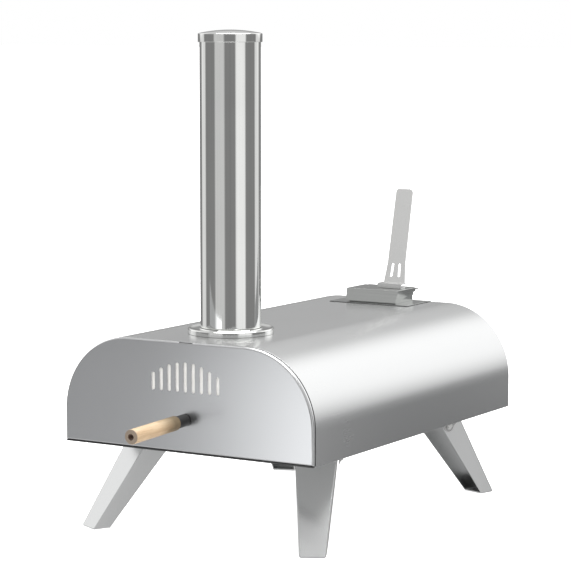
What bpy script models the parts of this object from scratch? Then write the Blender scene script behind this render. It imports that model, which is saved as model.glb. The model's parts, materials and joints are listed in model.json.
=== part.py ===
"""Portable wood fired pizza oven on four folding legs.

Metres, +Z up. The origin is the middle of the oven's box, on the surface that it stands on.
The door faces -Y, the fuel tray slides out at +Y, and x = 0 is the middle of the body.
"""
import math

import bmesh
import bpy
from mathutils import Matrix, Vector

# Body: an arch with a flat top, folded from one sheet
BODY_WIDTH = 0.4000
BODY_HEIGHT = 0.1522
BODY_LENGTH = 0.5852
UNDERSIDE_Z = 0.1272
CORNER_RADIUS = 0.1060
DOOR_FACE_Y = -0.2435
SHEET = 0.0010
LINER_SHEET = 0.0008
CLEARANCE = 0.0004
ARC_STEPS = 18

# Door
DOOR_RIM_DEPTH = 0.0060
SHELL_FRONT_GAP = 0.0015
TAB_HALF_WIDTH = 0.0105
VENT_COUNT = 9
VENT_PITCH = 0.0130
VENT_WIDTH = 0.0050
VENT_BOTTOM_Z = 0.2110
VENT_HEIGHT = 0.0210
VENT_ARCH = 0.0200

# Cooking chamber
CHAMBER_INSET = 0.0240
CHAMBER_FLOOR_Z = 0.1500
MOUTH_INSET = 0.0270
MOUTH_BOTTOM_Z = 0.1530
PLUG_INSET = 0.0310
PLUG_BOTTOM_Z = 0.1570
PLUG_DEPTH = 0.0220
STONE_SIDE = 0.3250
STONE_THICKNESS = 0.0120
STONE_CORNER = 0.0150
RAIL_HEIGHT = 0.0100

# Handle of the door: a wooden grip on a steel spacer, with a slight droop
HANDLE_ROOT_Z = 0.1736
HANDLE_RADIUS = 0.0100
HANDLE_START = 0.0250
HANDLE_LENGTH = 0.1030
HANDLE_DROOP = math.radians(1.8)
HANDLE_BORE = 0.0040
HANDLE_SCREW = 0.0022
SPACER_RADIUS = 0.0085

# Chimney
CHIMNEY_FROM_DOOR = 0.1150
CHIMNEY_RADIUS = 0.0421
CHIMNEY_BOTTOM_Z = 0.2876
CHIMNEY_TOP_Z = 0.6903
CAP_RADIUS = 0.0442
CAP_TOP_Z = 0.6968
CAP_DOME = 0.0048
CAP_RIM = 0.0120
COLLAR_RADIUS = 0.0597
COLLAR_HEIGHT = 0.0079
THROAT_RADIUS = 0.0393
ROUND_STEPS = 48

# Fuel hopper at the rear, with a hinged lid
HOPPER_FRONT = 0.5180
HOPPER_BACK = 0.5738
HOPPER_HALF_WIDTH = 0.0400
HOPPER_BOTTOM_Z = 0.2260
HOPPER_TOP_Z = 0.2965
FLANGE_FRONT = 0.5050
FLANGE_BACK = 0.5815
FLANGE_HALF_WIDTH = 0.0670
LID_TOP_Z = 0.3010
LID_HALF_WIDTH = 0.0450
LID_FRONT_TOP = 0.5170
LID_FRONT_BOTTOM = 0.5110
LID_SKIRT_Z = 0.2825
LID_TAPER = 0.0024
HINGE_FROM_DOOR = 0.5785
HINGE_Z = 0.2985
KNUCKLE_RADIUS = 0.0026
KNUCKLE_BORE = 0.0015
PIN_RADIUS = 0.0011
STRIP_CENTRE_X = 0.0173
STRIP_LEAN = math.radians(13.0)
STRIP_LENGTH = 0.1474
STRIP_WIDTH = 0.0288
STRIP_FOOT_WIDTH = 0.0368
STRIP_FLARE = 0.0320
STRIP_SHEET = 0.0015

# Burner tray
TRAY_HALF_WIDTH = 0.0550
TRAY_FRONT = 0.4700
TRAY_HEIGHT = 0.0450
PULL_REACH = 0.0285

# Legs: folding channels that lean outwards at the four corners
FRONT_PIVOT_X = 0.1330
REAR_PIVOT_X = 0.1417
FRONT_PIVOT_FROM_END = 0.1249
REAR_PIVOT_FROM_END = 0.1322
FRONT_LEG_TURN = math.radians(27.2)
REAR_LEG_TURN = math.radians(17.7)
PIVOT_Z = 0.1160
LEG_LEAN = math.radians(34.2)
LEG_SHEET = 0.0020
LEG_HALF_FOOT = 0.0181
LEG_HALF_TOP = 0.0295
LEG_HEEL_DEPTH = 0.0215
LEG_ROUND = 0.0092
WEB_OFFSET = 0.0265
BOLT_RADIUS = 0.0030

BODY_TOP_Z = UNDERSIDE_Z + BODY_HEIGHT
REAR_Y = DOOR_FACE_Y + BODY_LENGTH
SHELL_FRONT_Y = DOOR_FACE_Y + DOOR_RIM_DEPTH + SHELL_FRONT_GAP
MIDDLE_Y = DOOR_FACE_Y + BODY_LENGTH / 2


def from_door(distance):
    """World Y of a place at this distance behind the door's face."""
    return DOOR_FACE_Y + distance


def clear_scene():
    for item in list(bpy.data.objects):
        bpy.data.objects.remove(item, do_unlink=True)


def steel(name, shade, roughness):
    return finish(name, (shade, shade, shade * 0.99, 1.0), roughness, 1.0)


def finish(name, colour, roughness, metallic):
    material = bpy.data.materials.new(name)
    material.use_nodes = True
    shader = material.node_tree.nodes["Principled BSDF"]
    shader.inputs["Base Color"].default_value = colour
    shader.inputs["Roughness"].default_value = roughness
    shader.inputs["Metallic"].default_value = metallic
    return material


def add_object(name, shape, material=None, origin=(0.0, 0.0, 0.0), smooth=False):
    """Turns a bmesh in world coordinates into an object whose origin is at the given point."""
    bmesh.ops.recalc_face_normals(shape, faces=shape.faces)
    bmesh.ops.translate(shape, verts=shape.verts, vec=-Vector(origin))
    mesh = bpy.data.meshes.new(name)
    shape.to_mesh(mesh)
    shape.free()
    if smooth:
        mesh.shade_smooth()
        mesh.set_sharp_from_angle(angle=math.radians(35))
    item = bpy.data.objects.new(name, mesh)
    item.location = origin
    bpy.context.collection.objects.link(item)
    if material:
        mesh.materials.append(material)
    return item


def combine(item, other, operation):
    other.hide_render = True
    other.display_type = "WIRE"
    step = item.modifiers.new(operation.title(), "BOOLEAN")
    step.operation = operation
    step.solver = "EXACT"
    step.object = other


def cut(item, shape):
    combine(item, add_object("cut_" + item.name, shape), "DIFFERENCE")


def weld(item, shape):
    combine(item, add_object("join_" + item.name, shape), "UNION")


def extrude_outline(points, place, near, far, shape=None):
    """A solid between two copies of an outline; place(u, v, w) gives the world point."""
    shape = shape or bmesh.new()
    first = [shape.verts.new(place(u, v, near)) for u, v in points]
    last = [shape.verts.new(place(u, v, far)) for u, v in points]
    shape.faces.new(first)
    shape.faces.new(list(reversed(last)))
    for index in range(len(points)):
        following = (index + 1) % len(points)
        shape.faces.new((first[index], first[following], last[following], last[index]))
    return shape


def along_y(u, v, w):
    return Vector((u, w, v))


def along_x(u, v, w):
    return Vector((w, u, v))


def along_z(u, v, w):
    return Vector((u, v, w))


def box(x_range, y_range, z_range, shape=None):
    corners = [(x_range[0], y_range[0]), (x_range[1], y_range[0]),
               (x_range[1], y_range[1]), (x_range[0], y_range[1])]
    return extrude_outline(corners, along_z, z_range[0], z_range[1], shape)


def arch(inset, bottom):
    """Outline of the body in X and Z, inset from the outside, from lower left to lower right."""
    half = BODY_WIDTH / 2 - inset
    radius = CORNER_RADIUS - inset
    centre_z = BODY_TOP_Z - CORNER_RADIUS
    points = [(-half, bottom)]
    for side, start in ((-1, math.pi), (1, math.pi / 2)):
        for step in range(ARC_STEPS + 1):
            angle = start - step * math.pi / 2 / ARC_STEPS
            centre_x = side * (half - radius)
            points.append((centre_x + radius * math.cos(angle), centre_z + radius * math.sin(angle)))
    points.append((half, bottom))
    return points


def arch_prism(inset, bottom, near, far):
    return extrude_outline(arch(inset, bottom), along_y, near, far)


def arch_sheet(inset, thickness, bottom, near, far):
    """A sheet folded into the arch and open below."""
    outline = arch(inset, bottom) + list(reversed(arch(inset + thickness, bottom)))
    return extrude_outline(outline, along_y, near, far)


def arch_ring(outer, inner, near, far):
    """A sleeve or a frame between two arch outlines that both close below."""
    shape = bmesh.new()
    loops = []
    for outline in (outer, inner):
        for depth in (near, far):
            loops.append([shape.verts.new((x, depth, z)) for x, z in outline])
    outer_near, outer_far, inner_near, inner_far = loops
    for one, two in ((outer_near, outer_far), (inner_near, inner_far),
                     (outer_near, inner_near), (outer_far, inner_far)):
        for index in range(len(one)):
            following = (index + 1) % len(one)
            shape.faces.new((one[index], one[following], two[following], two[index]))
    return shape


def turned(profile, centre, direction=(0.0, 0.0, 1.0), steps=ROUND_STEPS, shape=None):
    """A closed profile of (radius, height) points turned about an axis."""
    shape = shape or bmesh.new()
    turn = Vector((0.0, 0.0, 1.0)).rotation_difference(Vector(direction)).to_matrix()
    rings = []
    for radius, height in profile:
        if radius < 1e-7:
            rings.append([shape.verts.new(Vector(centre) + turn @ Vector((0.0, 0.0, height)))])
            continue
        ring = []
        for step in range(steps):
            angle = 2 * math.pi * step / steps
            spoke = Vector((radius * math.cos(angle), radius * math.sin(angle), height))
            ring.append(shape.verts.new(Vector(centre) + turn @ spoke))
        rings.append(ring)
    for index, ring in enumerate(rings):
        above = rings[(index + 1) % len(rings)]
        if len(ring) == 1 and len(above) == 1:
            continue
        for step in range(steps):
            following = (step + 1) % steps
            if len(ring) == 1:
                shape.faces.new((ring[0], above[following], above[step]))
            elif len(above) == 1:
                shape.faces.new((ring[step], ring[following], above[0]))
            else:
                shape.faces.new((ring[step], ring[following], above[following], above[step]))
    return shape


def rod(radius, start, end, steps=24, shape=None):
    start, end = Vector(start), Vector(end)
    length = (end - start).length
    profile = [(0.0, 0.0), (radius, 0.0), (radius, length), (0.0, length)]
    return turned(profile, start, (end - start).normalized(), steps, shape)


def tube(outer, inner, start, end, steps=24, shape=None):
    start, end = Vector(start), Vector(end)
    length = (end - start).length
    profile = [(inner, 0.0), (outer, 0.0), (outer, length), (inner, length)]
    return turned(profile, start, (end - start).normalized(), steps, shape)


def rounded_rectangle(x_range, y_range, radius, steps=6):
    points = []
    corners = ((x_range[1], y_range[1], 0.0), (x_range[0], y_range[1], 90.0),
               (x_range[0], y_range[0], 180.0), (x_range[1], y_range[0], 270.0))
    for x, y, start in corners:
        centre_x = x - math.copysign(radius, x - sum(x_range) / 2)
        centre_y = y - math.copysign(radius, y - sum(y_range) / 2)
        for step in range(steps + 1):
            angle = math.radians(start + 90.0 * step / steps)
            points.append((centre_x + radius * math.cos(angle), centre_y + radius * math.sin(angle)))
    return points


# ---- body ----

def make_shell():
    shell = add_object("outer_shell", arch_sheet(0.0, SHEET, UNDERSIDE_Z, SHELL_FRONT_Y, REAR_Y),
                       steel("shell_steel", 0.62, 0.30), smooth=True)
    weld(shell, box((-TAB_HALF_WIDTH, TAB_HALF_WIDTH), (DOOR_FACE_Y + 0.0008, SHELL_FRONT_Y + 0.004),
                    (BODY_TOP_Z - SHEET, BODY_TOP_Z)))
    opening = rod(THROAT_RADIUS + CLEARANCE, (0.0, from_door(CHIMNEY_FROM_DOOR), BODY_TOP_Z - 0.01),
                  (0.0, from_door(CHIMNEY_FROM_DOOR), BODY_TOP_Z + 0.01), ROUND_STEPS)
    hopper_cut(opening, BODY_TOP_Z - 0.01, BODY_TOP_Z + 0.01)
    cut(shell, opening)


def hopper_cut(shape, low, high):
    margin = CLEARANCE
    box((-HOPPER_HALF_WIDTH - margin, HOPPER_HALF_WIDTH + margin),
        (from_door(HOPPER_FRONT) - margin, from_door(HOPPER_BACK) + margin), (low, high), shape)


def make_base_pan():
    half = BODY_WIDTH / 2 - SHEET - CLEARANCE
    lip = 0.0140
    near, far = SHELL_FRONT_Y + 0.0006, REAR_Y - 0.0006
    pan = add_object("base_pan", box((-half, half), (near, far), (UNDERSIDE_Z, UNDERSIDE_Z + lip)),
                     steel("pan_steel", 0.45, 0.40))
    cut(pan, box((-half + SHEET, half - SHEET), (near - 0.01, far + 0.01),
                 (UNDERSIDE_Z + SHEET, UNDERSIDE_Z + 0.05)))


def make_front_frame():
    inset = SHEET + CLEARANCE
    outer = arch(inset + SHEET, UNDERSIDE_Z + SHEET + CLEARANCE)
    inner = arch(MOUTH_INSET, MOUTH_BOTTOM_Z)
    near = SHELL_FRONT_Y + 0.0020
    add_object("front_frame", arch_ring(outer, inner, near, near + SHEET),
               steel("frame_steel", 0.45, 0.35), smooth=True)


def make_rear_panel():
    inset = 2 * SHEET + CLEARANCE
    far = REAR_Y - 0.0020
    panel = add_object("rear_panel",
                       arch_prism(inset, UNDERSIDE_Z + SHEET + CLEARANCE, far - SHEET, far),
                       steel("rear_steel", 0.55, 0.35), smooth=True)
    cut(panel, box((-TRAY_HALF_WIDTH - 0.0025, TRAY_HALF_WIDTH + 0.0025), (far - 0.01, far + 0.01),
                   (CHAMBER_FLOOR_Z, CHAMBER_FLOOR_Z + TRAY_HEIGHT + 0.0060)))


def make_liner():
    near, far = SHELL_FRONT_Y + 0.0036, REAR_Y - 0.0036
    liner = add_object("inner_liner",
                       arch_ring(arch(CHAMBER_INSET, CHAMBER_FLOOR_Z - LINER_SHEET),
                                 arch(CHAMBER_INSET + LINER_SHEET, CHAMBER_FLOOR_Z), near, far),
                       steel("liner_steel", 0.30, 0.45), smooth=True)
    roof = BODY_TOP_Z - CHAMBER_INSET
    axis = (0.0, from_door(CHIMNEY_FROM_DOOR))
    opening = rod(THROAT_RADIUS + CLEARANCE, (*axis, roof - 0.01), (*axis, roof + 0.01), ROUND_STEPS)
    hopper_cut(opening, roof - 0.01, roof + 0.01)
    cut(liner, opening)


def make_insulation():
    thickness = CHAMBER_INSET - SHEET - 2 * CLEARANCE
    near, far = SHELL_FRONT_Y + 0.0060, REAR_Y - 0.0060
    fibre = finish("ceramic_fibre", (0.80, 0.78, 0.72, 1.0), 0.95, 0.0)
    blanket = add_object("insulation_blanket",
                         arch_sheet(SHEET + CLEARANCE, thickness, UNDERSIDE_Z + 0.0160, near, far), fibre)
    low, high = BODY_TOP_Z - CHAMBER_INSET - 0.005, BODY_TOP_Z + 0.005
    axis = (0.0, from_door(CHIMNEY_FROM_DOOR))
    opening = rod(THROAT_RADIUS + CLEARANCE, (*axis, low), (*axis, high), ROUND_STEPS)
    hopper_cut(opening, low, high)
    cut(blanket, opening)
    board = finish("ceramic_board", (0.74, 0.71, 0.66, 1.0), 0.95, 0.0)
    half = BODY_WIDTH / 2 - 0.0300
    add_object("floor_insulation",
               box((-half, half), (near, far), (UNDERSIDE_Z + SHEET + CLEARANCE,
                                                CHAMBER_FLOOR_Z - LINER_SHEET - CLEARANCE)), board)


# ---- cooking chamber ----

def make_stone_and_rails():
    near = from_door(0.0550)
    rail_steel = steel("rail_steel", 0.35, 0.45)
    for side, name in ((-1, "left"), (1, "right")):
        middle = side * (STONE_SIDE / 2 - 0.020)
        low = CHAMBER_FLOOR_Z + CLEARANCE
        profile = [(middle - 0.010, low), (middle + 0.010, low), (middle + 0.010, low + 0.0015),
                   (middle + 0.00075, low + 0.0015), (middle + 0.00075, low + RAIL_HEIGHT - 0.0015),
                   (middle + 0.010, low + RAIL_HEIGHT - 0.0015), (middle + 0.010, low + RAIL_HEIGHT),
                   (middle - 0.010, low + RAIL_HEIGHT), (middle - 0.010, low + RAIL_HEIGHT - 0.0015),
                   (middle - 0.00075, low + RAIL_HEIGHT - 0.0015), (middle - 0.00075, low + 0.0015),
                   (middle - 0.010, low + 0.0015)]
        add_object("stone_rail_" + name,
                   extrude_outline(profile, along_y, near, near + STONE_SIDE), rail_steel)
    bottom = CHAMBER_FLOOR_Z + RAIL_HEIGHT + 2 * CLEARANCE
    outline = rounded_rectangle((-STONE_SIDE / 2, STONE_SIDE / 2), (near, near + STONE_SIDE), STONE_CORNER)
    add_object("pizza_stone", extrude_outline(outline, along_z, bottom, bottom + STONE_THICKNESS),
               finish("cordierite", (0.72, 0.64, 0.52, 1.0), 0.9, 0.0), origin=(0.0, near, bottom))


def make_baffle():
    """A plate with a folded foot that stands between the fire and the stone."""
    near = from_door(0.4350)
    low = CHAMBER_FLOOR_Z + CLEARANCE
    profile = [(near, low), (near + 0.020, low), (near + 0.020, low + 0.0015),
               (near + 0.0015, low + 0.0015), (near + 0.0015, low + 0.058), (near, low + 0.058)]
    add_object("flame_baffle", extrude_outline(profile, along_x, -0.105, 0.105),
               steel("baffle_steel", 0.28, 0.5))


# ---- chimney ----

def make_chimney():
    axis = (0.0, from_door(CHIMNEY_FROM_DOOR), 0.0)
    low = BODY_TOP_Z + 0.0003
    high = BODY_TOP_Z + COLLAR_HEIGHT
    inner = THROAT_RADIUS + CLEARANCE
    collar = [(inner, high), (inner, high - 0.0015), (COLLAR_RADIUS - 0.0025, high - 0.0015),
              (COLLAR_RADIUS - 0.0012, high - 0.0026), (COLLAR_RADIUS - 0.0012, low), (COLLAR_RADIUS, low),
              (COLLAR_RADIUS, high - 0.0022), (COLLAR_RADIUS - 0.0022, high)]
    add_object("chimney_collar", turned(collar, axis), steel("collar_steel", 0.72, 0.12), smooth=True)

    throat_low = BODY_TOP_Z - CHAMBER_INSET - 0.0060
    throat = [(THROAT_RADIUS - SHEET, throat_low), (THROAT_RADIUS, throat_low),
              (THROAT_RADIUS, CHIMNEY_BOTTOM_Z + 0.024), (THROAT_RADIUS - SHEET, CHIMNEY_BOTTOM_Z + 0.024)]
    add_object("chimney_throat", turned(throat, axis), steel("throat_steel", 0.45, 0.35), smooth=True)

    wall = 0.0010
    pipe = [(CHIMNEY_RADIUS - wall, CHIMNEY_BOTTOM_Z), (CHIMNEY_RADIUS, CHIMNEY_BOTTOM_Z),
            (CHIMNEY_RADIUS, CHIMNEY_TOP_Z), (CHIMNEY_RADIUS - wall, CHIMNEY_TOP_Z)]
    add_object("chimney_tube", turned(pipe, axis), steel("tube_steel", 0.70, 0.14),
               origin=(axis[0], axis[1], CHIMNEY_BOTTOM_Z), smooth=True)

    cap_wall = 0.0013
    shoulder = CAP_TOP_Z - CAP_DOME
    rim = shoulder - CAP_RIM

    def dome(radius, low):
        return radius, shoulder + CAP_DOME * (1 - (radius / CAP_RADIUS) ** 2) - low

    steps = 6
    inside = [dome((CAP_RADIUS - cap_wall) * step / steps, cap_wall) for step in range(steps + 1)]
    outside = [dome((CAP_RADIUS - 0.0010) * step / steps, 0.0) for step in range(steps, 0, -1)]
    cap = inside + [(CAP_RADIUS - cap_wall, rim), (CAP_RADIUS, rim), (CAP_RADIUS, shoulder - 0.0008)]
    cap += outside + [(0.0, CAP_TOP_Z)]
    add_object("chimney_cap", turned(cap, axis), steel("cap_steel", 0.70, 0.18),
               origin=(axis[0], axis[1], CAP_TOP_Z), smooth=True)


# ---- hopper ----

def make_hopper():
    flange_steel = steel("flange_steel", 0.45, 0.35)
    low = BODY_TOP_Z + 0.0003
    flange = add_object("hopper_flange",
                        box((-FLANGE_HALF_WIDTH, FLANGE_HALF_WIDTH),
                            (from_door(FLANGE_FRONT), from_door(FLANGE_BACK)), (low, low + SHEET)),
                        flange_steel)
    opening = bmesh.new()
    hopper_cut(opening, low - 0.01, low + 0.01)
    cut(flange, opening)

    near, far = from_door(HOPPER_FRONT), from_door(HOPPER_BACK)
    half = HOPPER_HALF_WIDTH
    neck = add_object("hopper_neck", box((-half, half), (near, far), (HOPPER_BOTTOM_Z, HOPPER_TOP_Z)),
                      steel("neck_steel", 0.50, 0.35))
    cut(neck, box((-half + SHEET, half - SHEET), (near + SHEET, far - SHEET),
                  (HOPPER_BOTTOM_Z - 0.01, HOPPER_TOP_Z + 0.01)))
    hinge_y = from_door(HINGE_FROM_DOOR)
    for side, name in ((-1, "left"), (1, "right")):
        ends = sorted((side * 0.0165, side * 0.0400))
        arm = box(ends, (far - SHEET / 2, hinge_y - 0.0018), (HINGE_Z - 0.0095, HINGE_Z - 0.0006))
        weld(neck, arm)
        weld(neck, rod(KNUCKLE_RADIUS, (ends[0], hinge_y, HINGE_Z), (ends[1], hinge_y, HINGE_Z), 20))
    cut(neck, rod(KNUCKLE_BORE, (-0.06, hinge_y, HINGE_Z), (0.06, hinge_y, HINGE_Z), 16))
    add_object("lid_hinge_pin", rod(PIN_RADIUS, (-0.0420, hinge_y, HINGE_Z), (0.0470, hinge_y, HINGE_Z), 16),
               steel("pin_steel", 0.6, 0.25), smooth=True)


def tapered(points, half_at):
    """A solid whose outline lies in Y and Z and whose half width follows the height."""
    shape = bmesh.new()
    sides = []
    for side in (-1, 1):
        sides.append([shape.verts.new((side * half_at(z), y, z)) for y, z in points])
    left, right = sides
    shape.faces.new(left)
    shape.faces.new(list(reversed(right)))
    for index in range(len(points)):
        following = (index + 1) % len(points)
        shape.faces.new((left[index], left[following], right[following], right[index]))
    return shape


def make_lid():
    """A folded cover: flat top, leaning front, and side skirts that run out towards the hinge."""
    hinge_y = from_door(HINGE_FROM_DOOR)
    hinge = (0.0, hinge_y, HINGE_Z)
    front_top, front_bottom = from_door(LID_FRONT_TOP), from_door(LID_FRONT_BOTTOM)
    back = hinge_y - 0.0035
    drop = LID_TOP_Z - LID_SKIRT_Z
    slope = (front_top - front_bottom) / drop

    def half_at(z):
        return LID_HALF_WIDTH - LID_TAPER * (LID_TOP_Z - z) / drop

    outer = [(front_top, LID_TOP_Z), (front_bottom, LID_SKIRT_Z), (front_bottom + 0.010, LID_SKIRT_Z),
             (back, LID_TOP_Z - 0.0055), (back, LID_TOP_Z)]
    lid = add_object("hopper_lid", tapered(outer, half_at), steel("lid_steel", 0.45, 0.35), origin=hinge)
    under = LID_TOP_Z - SHEET
    below = LID_SKIRT_Z - 0.02
    inner = [(front_top + SHEET + SHEET * slope, under),
             (front_top + SHEET + slope * (below - LID_TOP_Z), below),
             (back + 0.02, below), (back + 0.02, under)]
    cut(lid, tapered(inner, lambda z: half_at(z) - SHEET))
    weld(lid, box((-0.0150, 0.0150), (back - 0.002, hinge_y), (under, LID_TOP_Z)))
    weld(lid, rod(KNUCKLE_RADIUS, (-0.0150, hinge_y, HINGE_Z), (0.0150, hinge_y, HINGE_Z), 20))
    cut(lid, rod(KNUCKLE_BORE, (-0.06, hinge_y, HINGE_Z), (0.06, hinge_y, HINGE_Z), 16))
    make_lid_handle(hinge)


def make_lid_handle(hinge):
    """One bent strip: a foot on the lid, a short riser, a shelf and the long leaning grip."""
    thick = STRIP_SHEET
    foot_z = LID_TOP_Z + 0.0003
    riser_y = from_door(0.5400)
    shelf_z = foot_z + 0.0075
    shelf_end = from_door(0.5570)
    lean = Vector((0.0, math.sin(STRIP_LEAN), math.cos(STRIP_LEAN)))
    across_lean = Vector((0.0, math.cos(STRIP_LEAN), -math.sin(STRIP_LEAN)))
    profile = [(riser_y + 0.0140, foot_z), (riser_y, foot_z), (riser_y, shelf_z),
               (shelf_end, shelf_z), (shelf_end, shelf_z - thick), (riser_y + thick, shelf_z - thick),
               (riser_y + thick, foot_z + thick), (riser_y + 0.0140, foot_z + thick)]
    wide = STRIP_FOOT_WIDTH / 2 + 0.0022
    bracket = add_object("lid_handle",
                         extrude_outline(profile, along_x, STRIP_CENTRE_X - wide, STRIP_CENTRE_X + wide),
                         steel("strip_steel", 0.58, 0.30), origin=hinge)
    base = Vector((STRIP_CENTRE_X, shelf_end, shelf_z - thick))

    def on_strip(u, v, w):
        return base + Vector((u, 0.0, 0.0)) + lean * v - across_lean * w

    half_foot, half_top = STRIP_FOOT_WIDTH / 2, STRIP_WIDTH / 2
    corner = 0.0050
    outline = [(-half_foot, 0.0), (half_foot, 0.0), (half_top + 0.0008, STRIP_FLARE)]
    for start, side in ((0.0, 1), (90.0, -1)):
        for step in range(6):
            angle = math.radians(start + 18.0 * step)
            outline.append((side * (half_top - corner) + corner * math.cos(angle),
                            STRIP_LENGTH - corner + corner * math.sin(angle)))
    outline.append((-half_top - 0.0008, STRIP_FLARE))
    grip = add_object("join_grip", extrude_outline(outline, on_strip, 0.0, thick))
    combine(bracket, grip, "UNION")
    slots = bmesh.new()
    for side in (-1, 1):
        slot = rounded_rectangle((-0.0022, 0.0022), (0.0100, 0.0310), 0.0021, 4)
        slanted = [(side * (0.0062 - 0.05 * (v - 0.020)) + u, v) for u, v in slot]
        extrude_outline(slanted, on_strip, -0.01, 0.01, slots)
    cut(bracket, slots)


# ---- burner ----

def make_burner():
    low = CHAMBER_FLOOR_Z + CLEARANCE * 2
    near, far = from_door(TRAY_FRONT), REAR_Y - 0.0005
    half = TRAY_HALF_WIDTH
    tray = add_object("burner_tray", box((-half, half), (near, far), (low, low + TRAY_HEIGHT)),
                      steel("tray_steel", 0.30, 0.45), origin=(0.0, far, low))
    cut(tray, box((-half + SHEET, half - SHEET), (near + SHEET, far - SHEET), (low + SHEET, low + 0.2)))
    grate_z = low + 0.0200
    grate_near, grate_far = near + SHEET + 0.0005, from_door(0.5740)
    grate = add_object("fuel_grate",
                       box((-half + SHEET + 0.0005, half - SHEET - 0.0005), (grate_near, grate_far),
                           (low + SHEET + 0.0003, grate_z)),
                       steel("grate_steel", 0.25, 0.5))
    cut(grate, box((-half + 2 * SHEET + 0.0005, half - 2 * SHEET - 0.0005), (grate_near - 0.01, grate_far + 0.01),
                   (low - 0.01, grate_z - 0.0015)))
    holes = bmesh.new()
    for column in range(-3, 4):
        for row in range(6):
            place = (column * 0.0130, grate_near + 0.0150 + row * 0.0140)
            rod(0.0030, (*place, grate_z - 0.01), (*place, grate_z + 0.01), 10, holes)
    cut(grate, holes)

    face_half = half + 0.0120
    face_low, face_high = low - 0.0080, low + TRAY_HEIGHT + 0.0120
    face = add_object("tray_front",
                      box((-face_half, face_half), (REAR_Y, REAR_Y + SHEET), (face_low, face_high)),
                      steel("tray_front_steel", 0.55, 0.3))
    vents = bmesh.new()
    for column in range(-3, 4):
        middle = column * 0.0120
        slot = rounded_rectangle((middle - 0.0025, middle + 0.0025), (face_low + 0.0130, face_low + 0.0270),
                                 0.0024, 4)
        extrude_outline(slot, along_y, REAR_Y - 0.01, REAR_Y + 0.01, vents)
    cut(face, vents)
    pull_near = REAR_Y + SHEET + 0.0003
    pull_z = low + TRAY_HEIGHT - 0.0020
    profile = [(pull_near, pull_z - 0.0100), (pull_near + 0.0015, pull_z - 0.0100),
               (pull_near + 0.0015, pull_z - 0.0015), (pull_near + PULL_REACH - 0.0015, pull_z - 0.0015),
               (pull_near + PULL_REACH - 0.0015, pull_z - 0.0120), (pull_near + PULL_REACH, pull_z - 0.0120),
               (pull_near + PULL_REACH, pull_z), (pull_near, pull_z)]
    add_object("tray_pull", extrude_outline(profile, along_x, -0.0350, 0.0350),
               steel("pull_steel", 0.55, 0.3))


# ---- door ----

def vent_cutters():
    """A plain fan of upright slots, taller towards the middle."""
    shape = bmesh.new()
    for column in range(VENT_COUNT):
        offset = column - (VENT_COUNT - 1) / 2
        rise = VENT_ARCH * math.cos(math.pi / 2 * offset / (VENT_COUNT / 2))
        middle = offset * VENT_PITCH
        slot = rounded_rectangle((middle - VENT_WIDTH / 2, middle + VENT_WIDTH / 2),
                                 (VENT_BOTTOM_Z, VENT_BOTTOM_Z + VENT_HEIGHT + rise), VENT_WIDTH / 2.05, 4)
        extrude_outline(slot, along_y, DOOR_FACE_Y - 0.01, DOOR_FACE_Y + 0.004, shape)
    return shape


def make_door():
    face = DOOR_FACE_Y
    rim = face + DOOR_RIM_DEPTH
    outer = add_object("door_outer", arch_prism(0.0, UNDERSIDE_Z, face, rim),
                       steel("door_steel", 0.60, 0.32), smooth=True)
    cut(outer, arch_prism(SHEET, UNDERSIDE_Z + SHEET, face + SHEET, rim + 0.01))
    cut(outer, vent_cutters())
    notch = TAB_HALF_WIDTH + 0.0006
    cut(outer, box((-notch, notch), (face - 0.01, rim + 0.01), (BODY_TOP_Z - SHEET - 0.0006, BODY_TOP_Z + 0.01)))

    plate_far = rim - 0.0010
    plug_near, plug_far = plate_far + 0.0003, rim + PLUG_DEPTH
    liner_steel = steel("door_liner_steel", 0.40, 0.4)
    add_object("door_backplate",
               arch_prism(SHEET + CLEARANCE + 0.0022, UNDERSIDE_Z + SHEET + CLEARANCE, plate_far - SHEET,
                          plate_far), liner_steel, smooth=True)
    plug = add_object("door_plug", arch_prism(PLUG_INSET, PLUG_BOTTOM_Z, plug_near, plug_far), liner_steel,
                      smooth=True)
    cut(plug, arch_prism(PLUG_INSET + LINER_SHEET, PLUG_BOTTOM_Z + LINER_SHEET, face, plug_far - LINER_SHEET))
    margin = LINER_SHEET + CLEARANCE
    add_object("door_insulation",
               arch_prism(PLUG_INSET + margin, PLUG_BOTTOM_Z + margin, plug_near, plug_far - margin),
               finish("door_fibre", (0.30, 0.29, 0.27, 1.0), 0.95, 0.0), smooth=True)
    make_handle()


def make_handle():
    direction = Vector((0.0, -math.cos(HANDLE_DROOP), -math.sin(HANDLE_DROOP)))
    root = Vector((0.0, DOOR_FACE_Y, HANDLE_ROOT_Z))
    spacer_start = root + direction * 0.0008
    add_object("handle_spacer",
               tube(SPACER_RADIUS, HANDLE_SCREW + 0.0004, spacer_start, root + direction * (HANDLE_START - 0.0004)),
               steel("spacer_steel", 0.25, 0.4), smooth=True)
    start = root + direction * HANDLE_START
    length = HANDLE_LENGTH
    bore = HANDLE_SCREW + 0.0004
    seat = 0.0720
    grip = [(bore, 0.0), (HANDLE_RADIUS - 0.0008, 0.0), (HANDLE_RADIUS, 0.0008),
            (HANDLE_RADIUS, length - 0.0008), (HANDLE_RADIUS - 0.0008, length),
            (HANDLE_BORE, length), (HANDLE_BORE, seat), (bore, seat)]
    add_object("door_handle", turned(grip, start, direction, 32),
               finish("handle_wood", (0.72, 0.52, 0.32, 1.0), 0.55, 0.0), smooth=True)
    head = seat + 0.0004
    screw = [(0.0, -HANDLE_START + 0.0016), (HANDLE_SCREW, -HANDLE_START + 0.0016),
             (HANDLE_SCREW, head), (HANDLE_BORE - 0.0004, head), (HANDLE_BORE - 0.0004, head + 0.0030),
             (0.0, head + 0.0030)]
    add_object("handle_screw", turned(screw, start, direction, 20), steel("screw_steel", 0.5, 0.3),
               smooth=True)


# ---- legs ----

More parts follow.
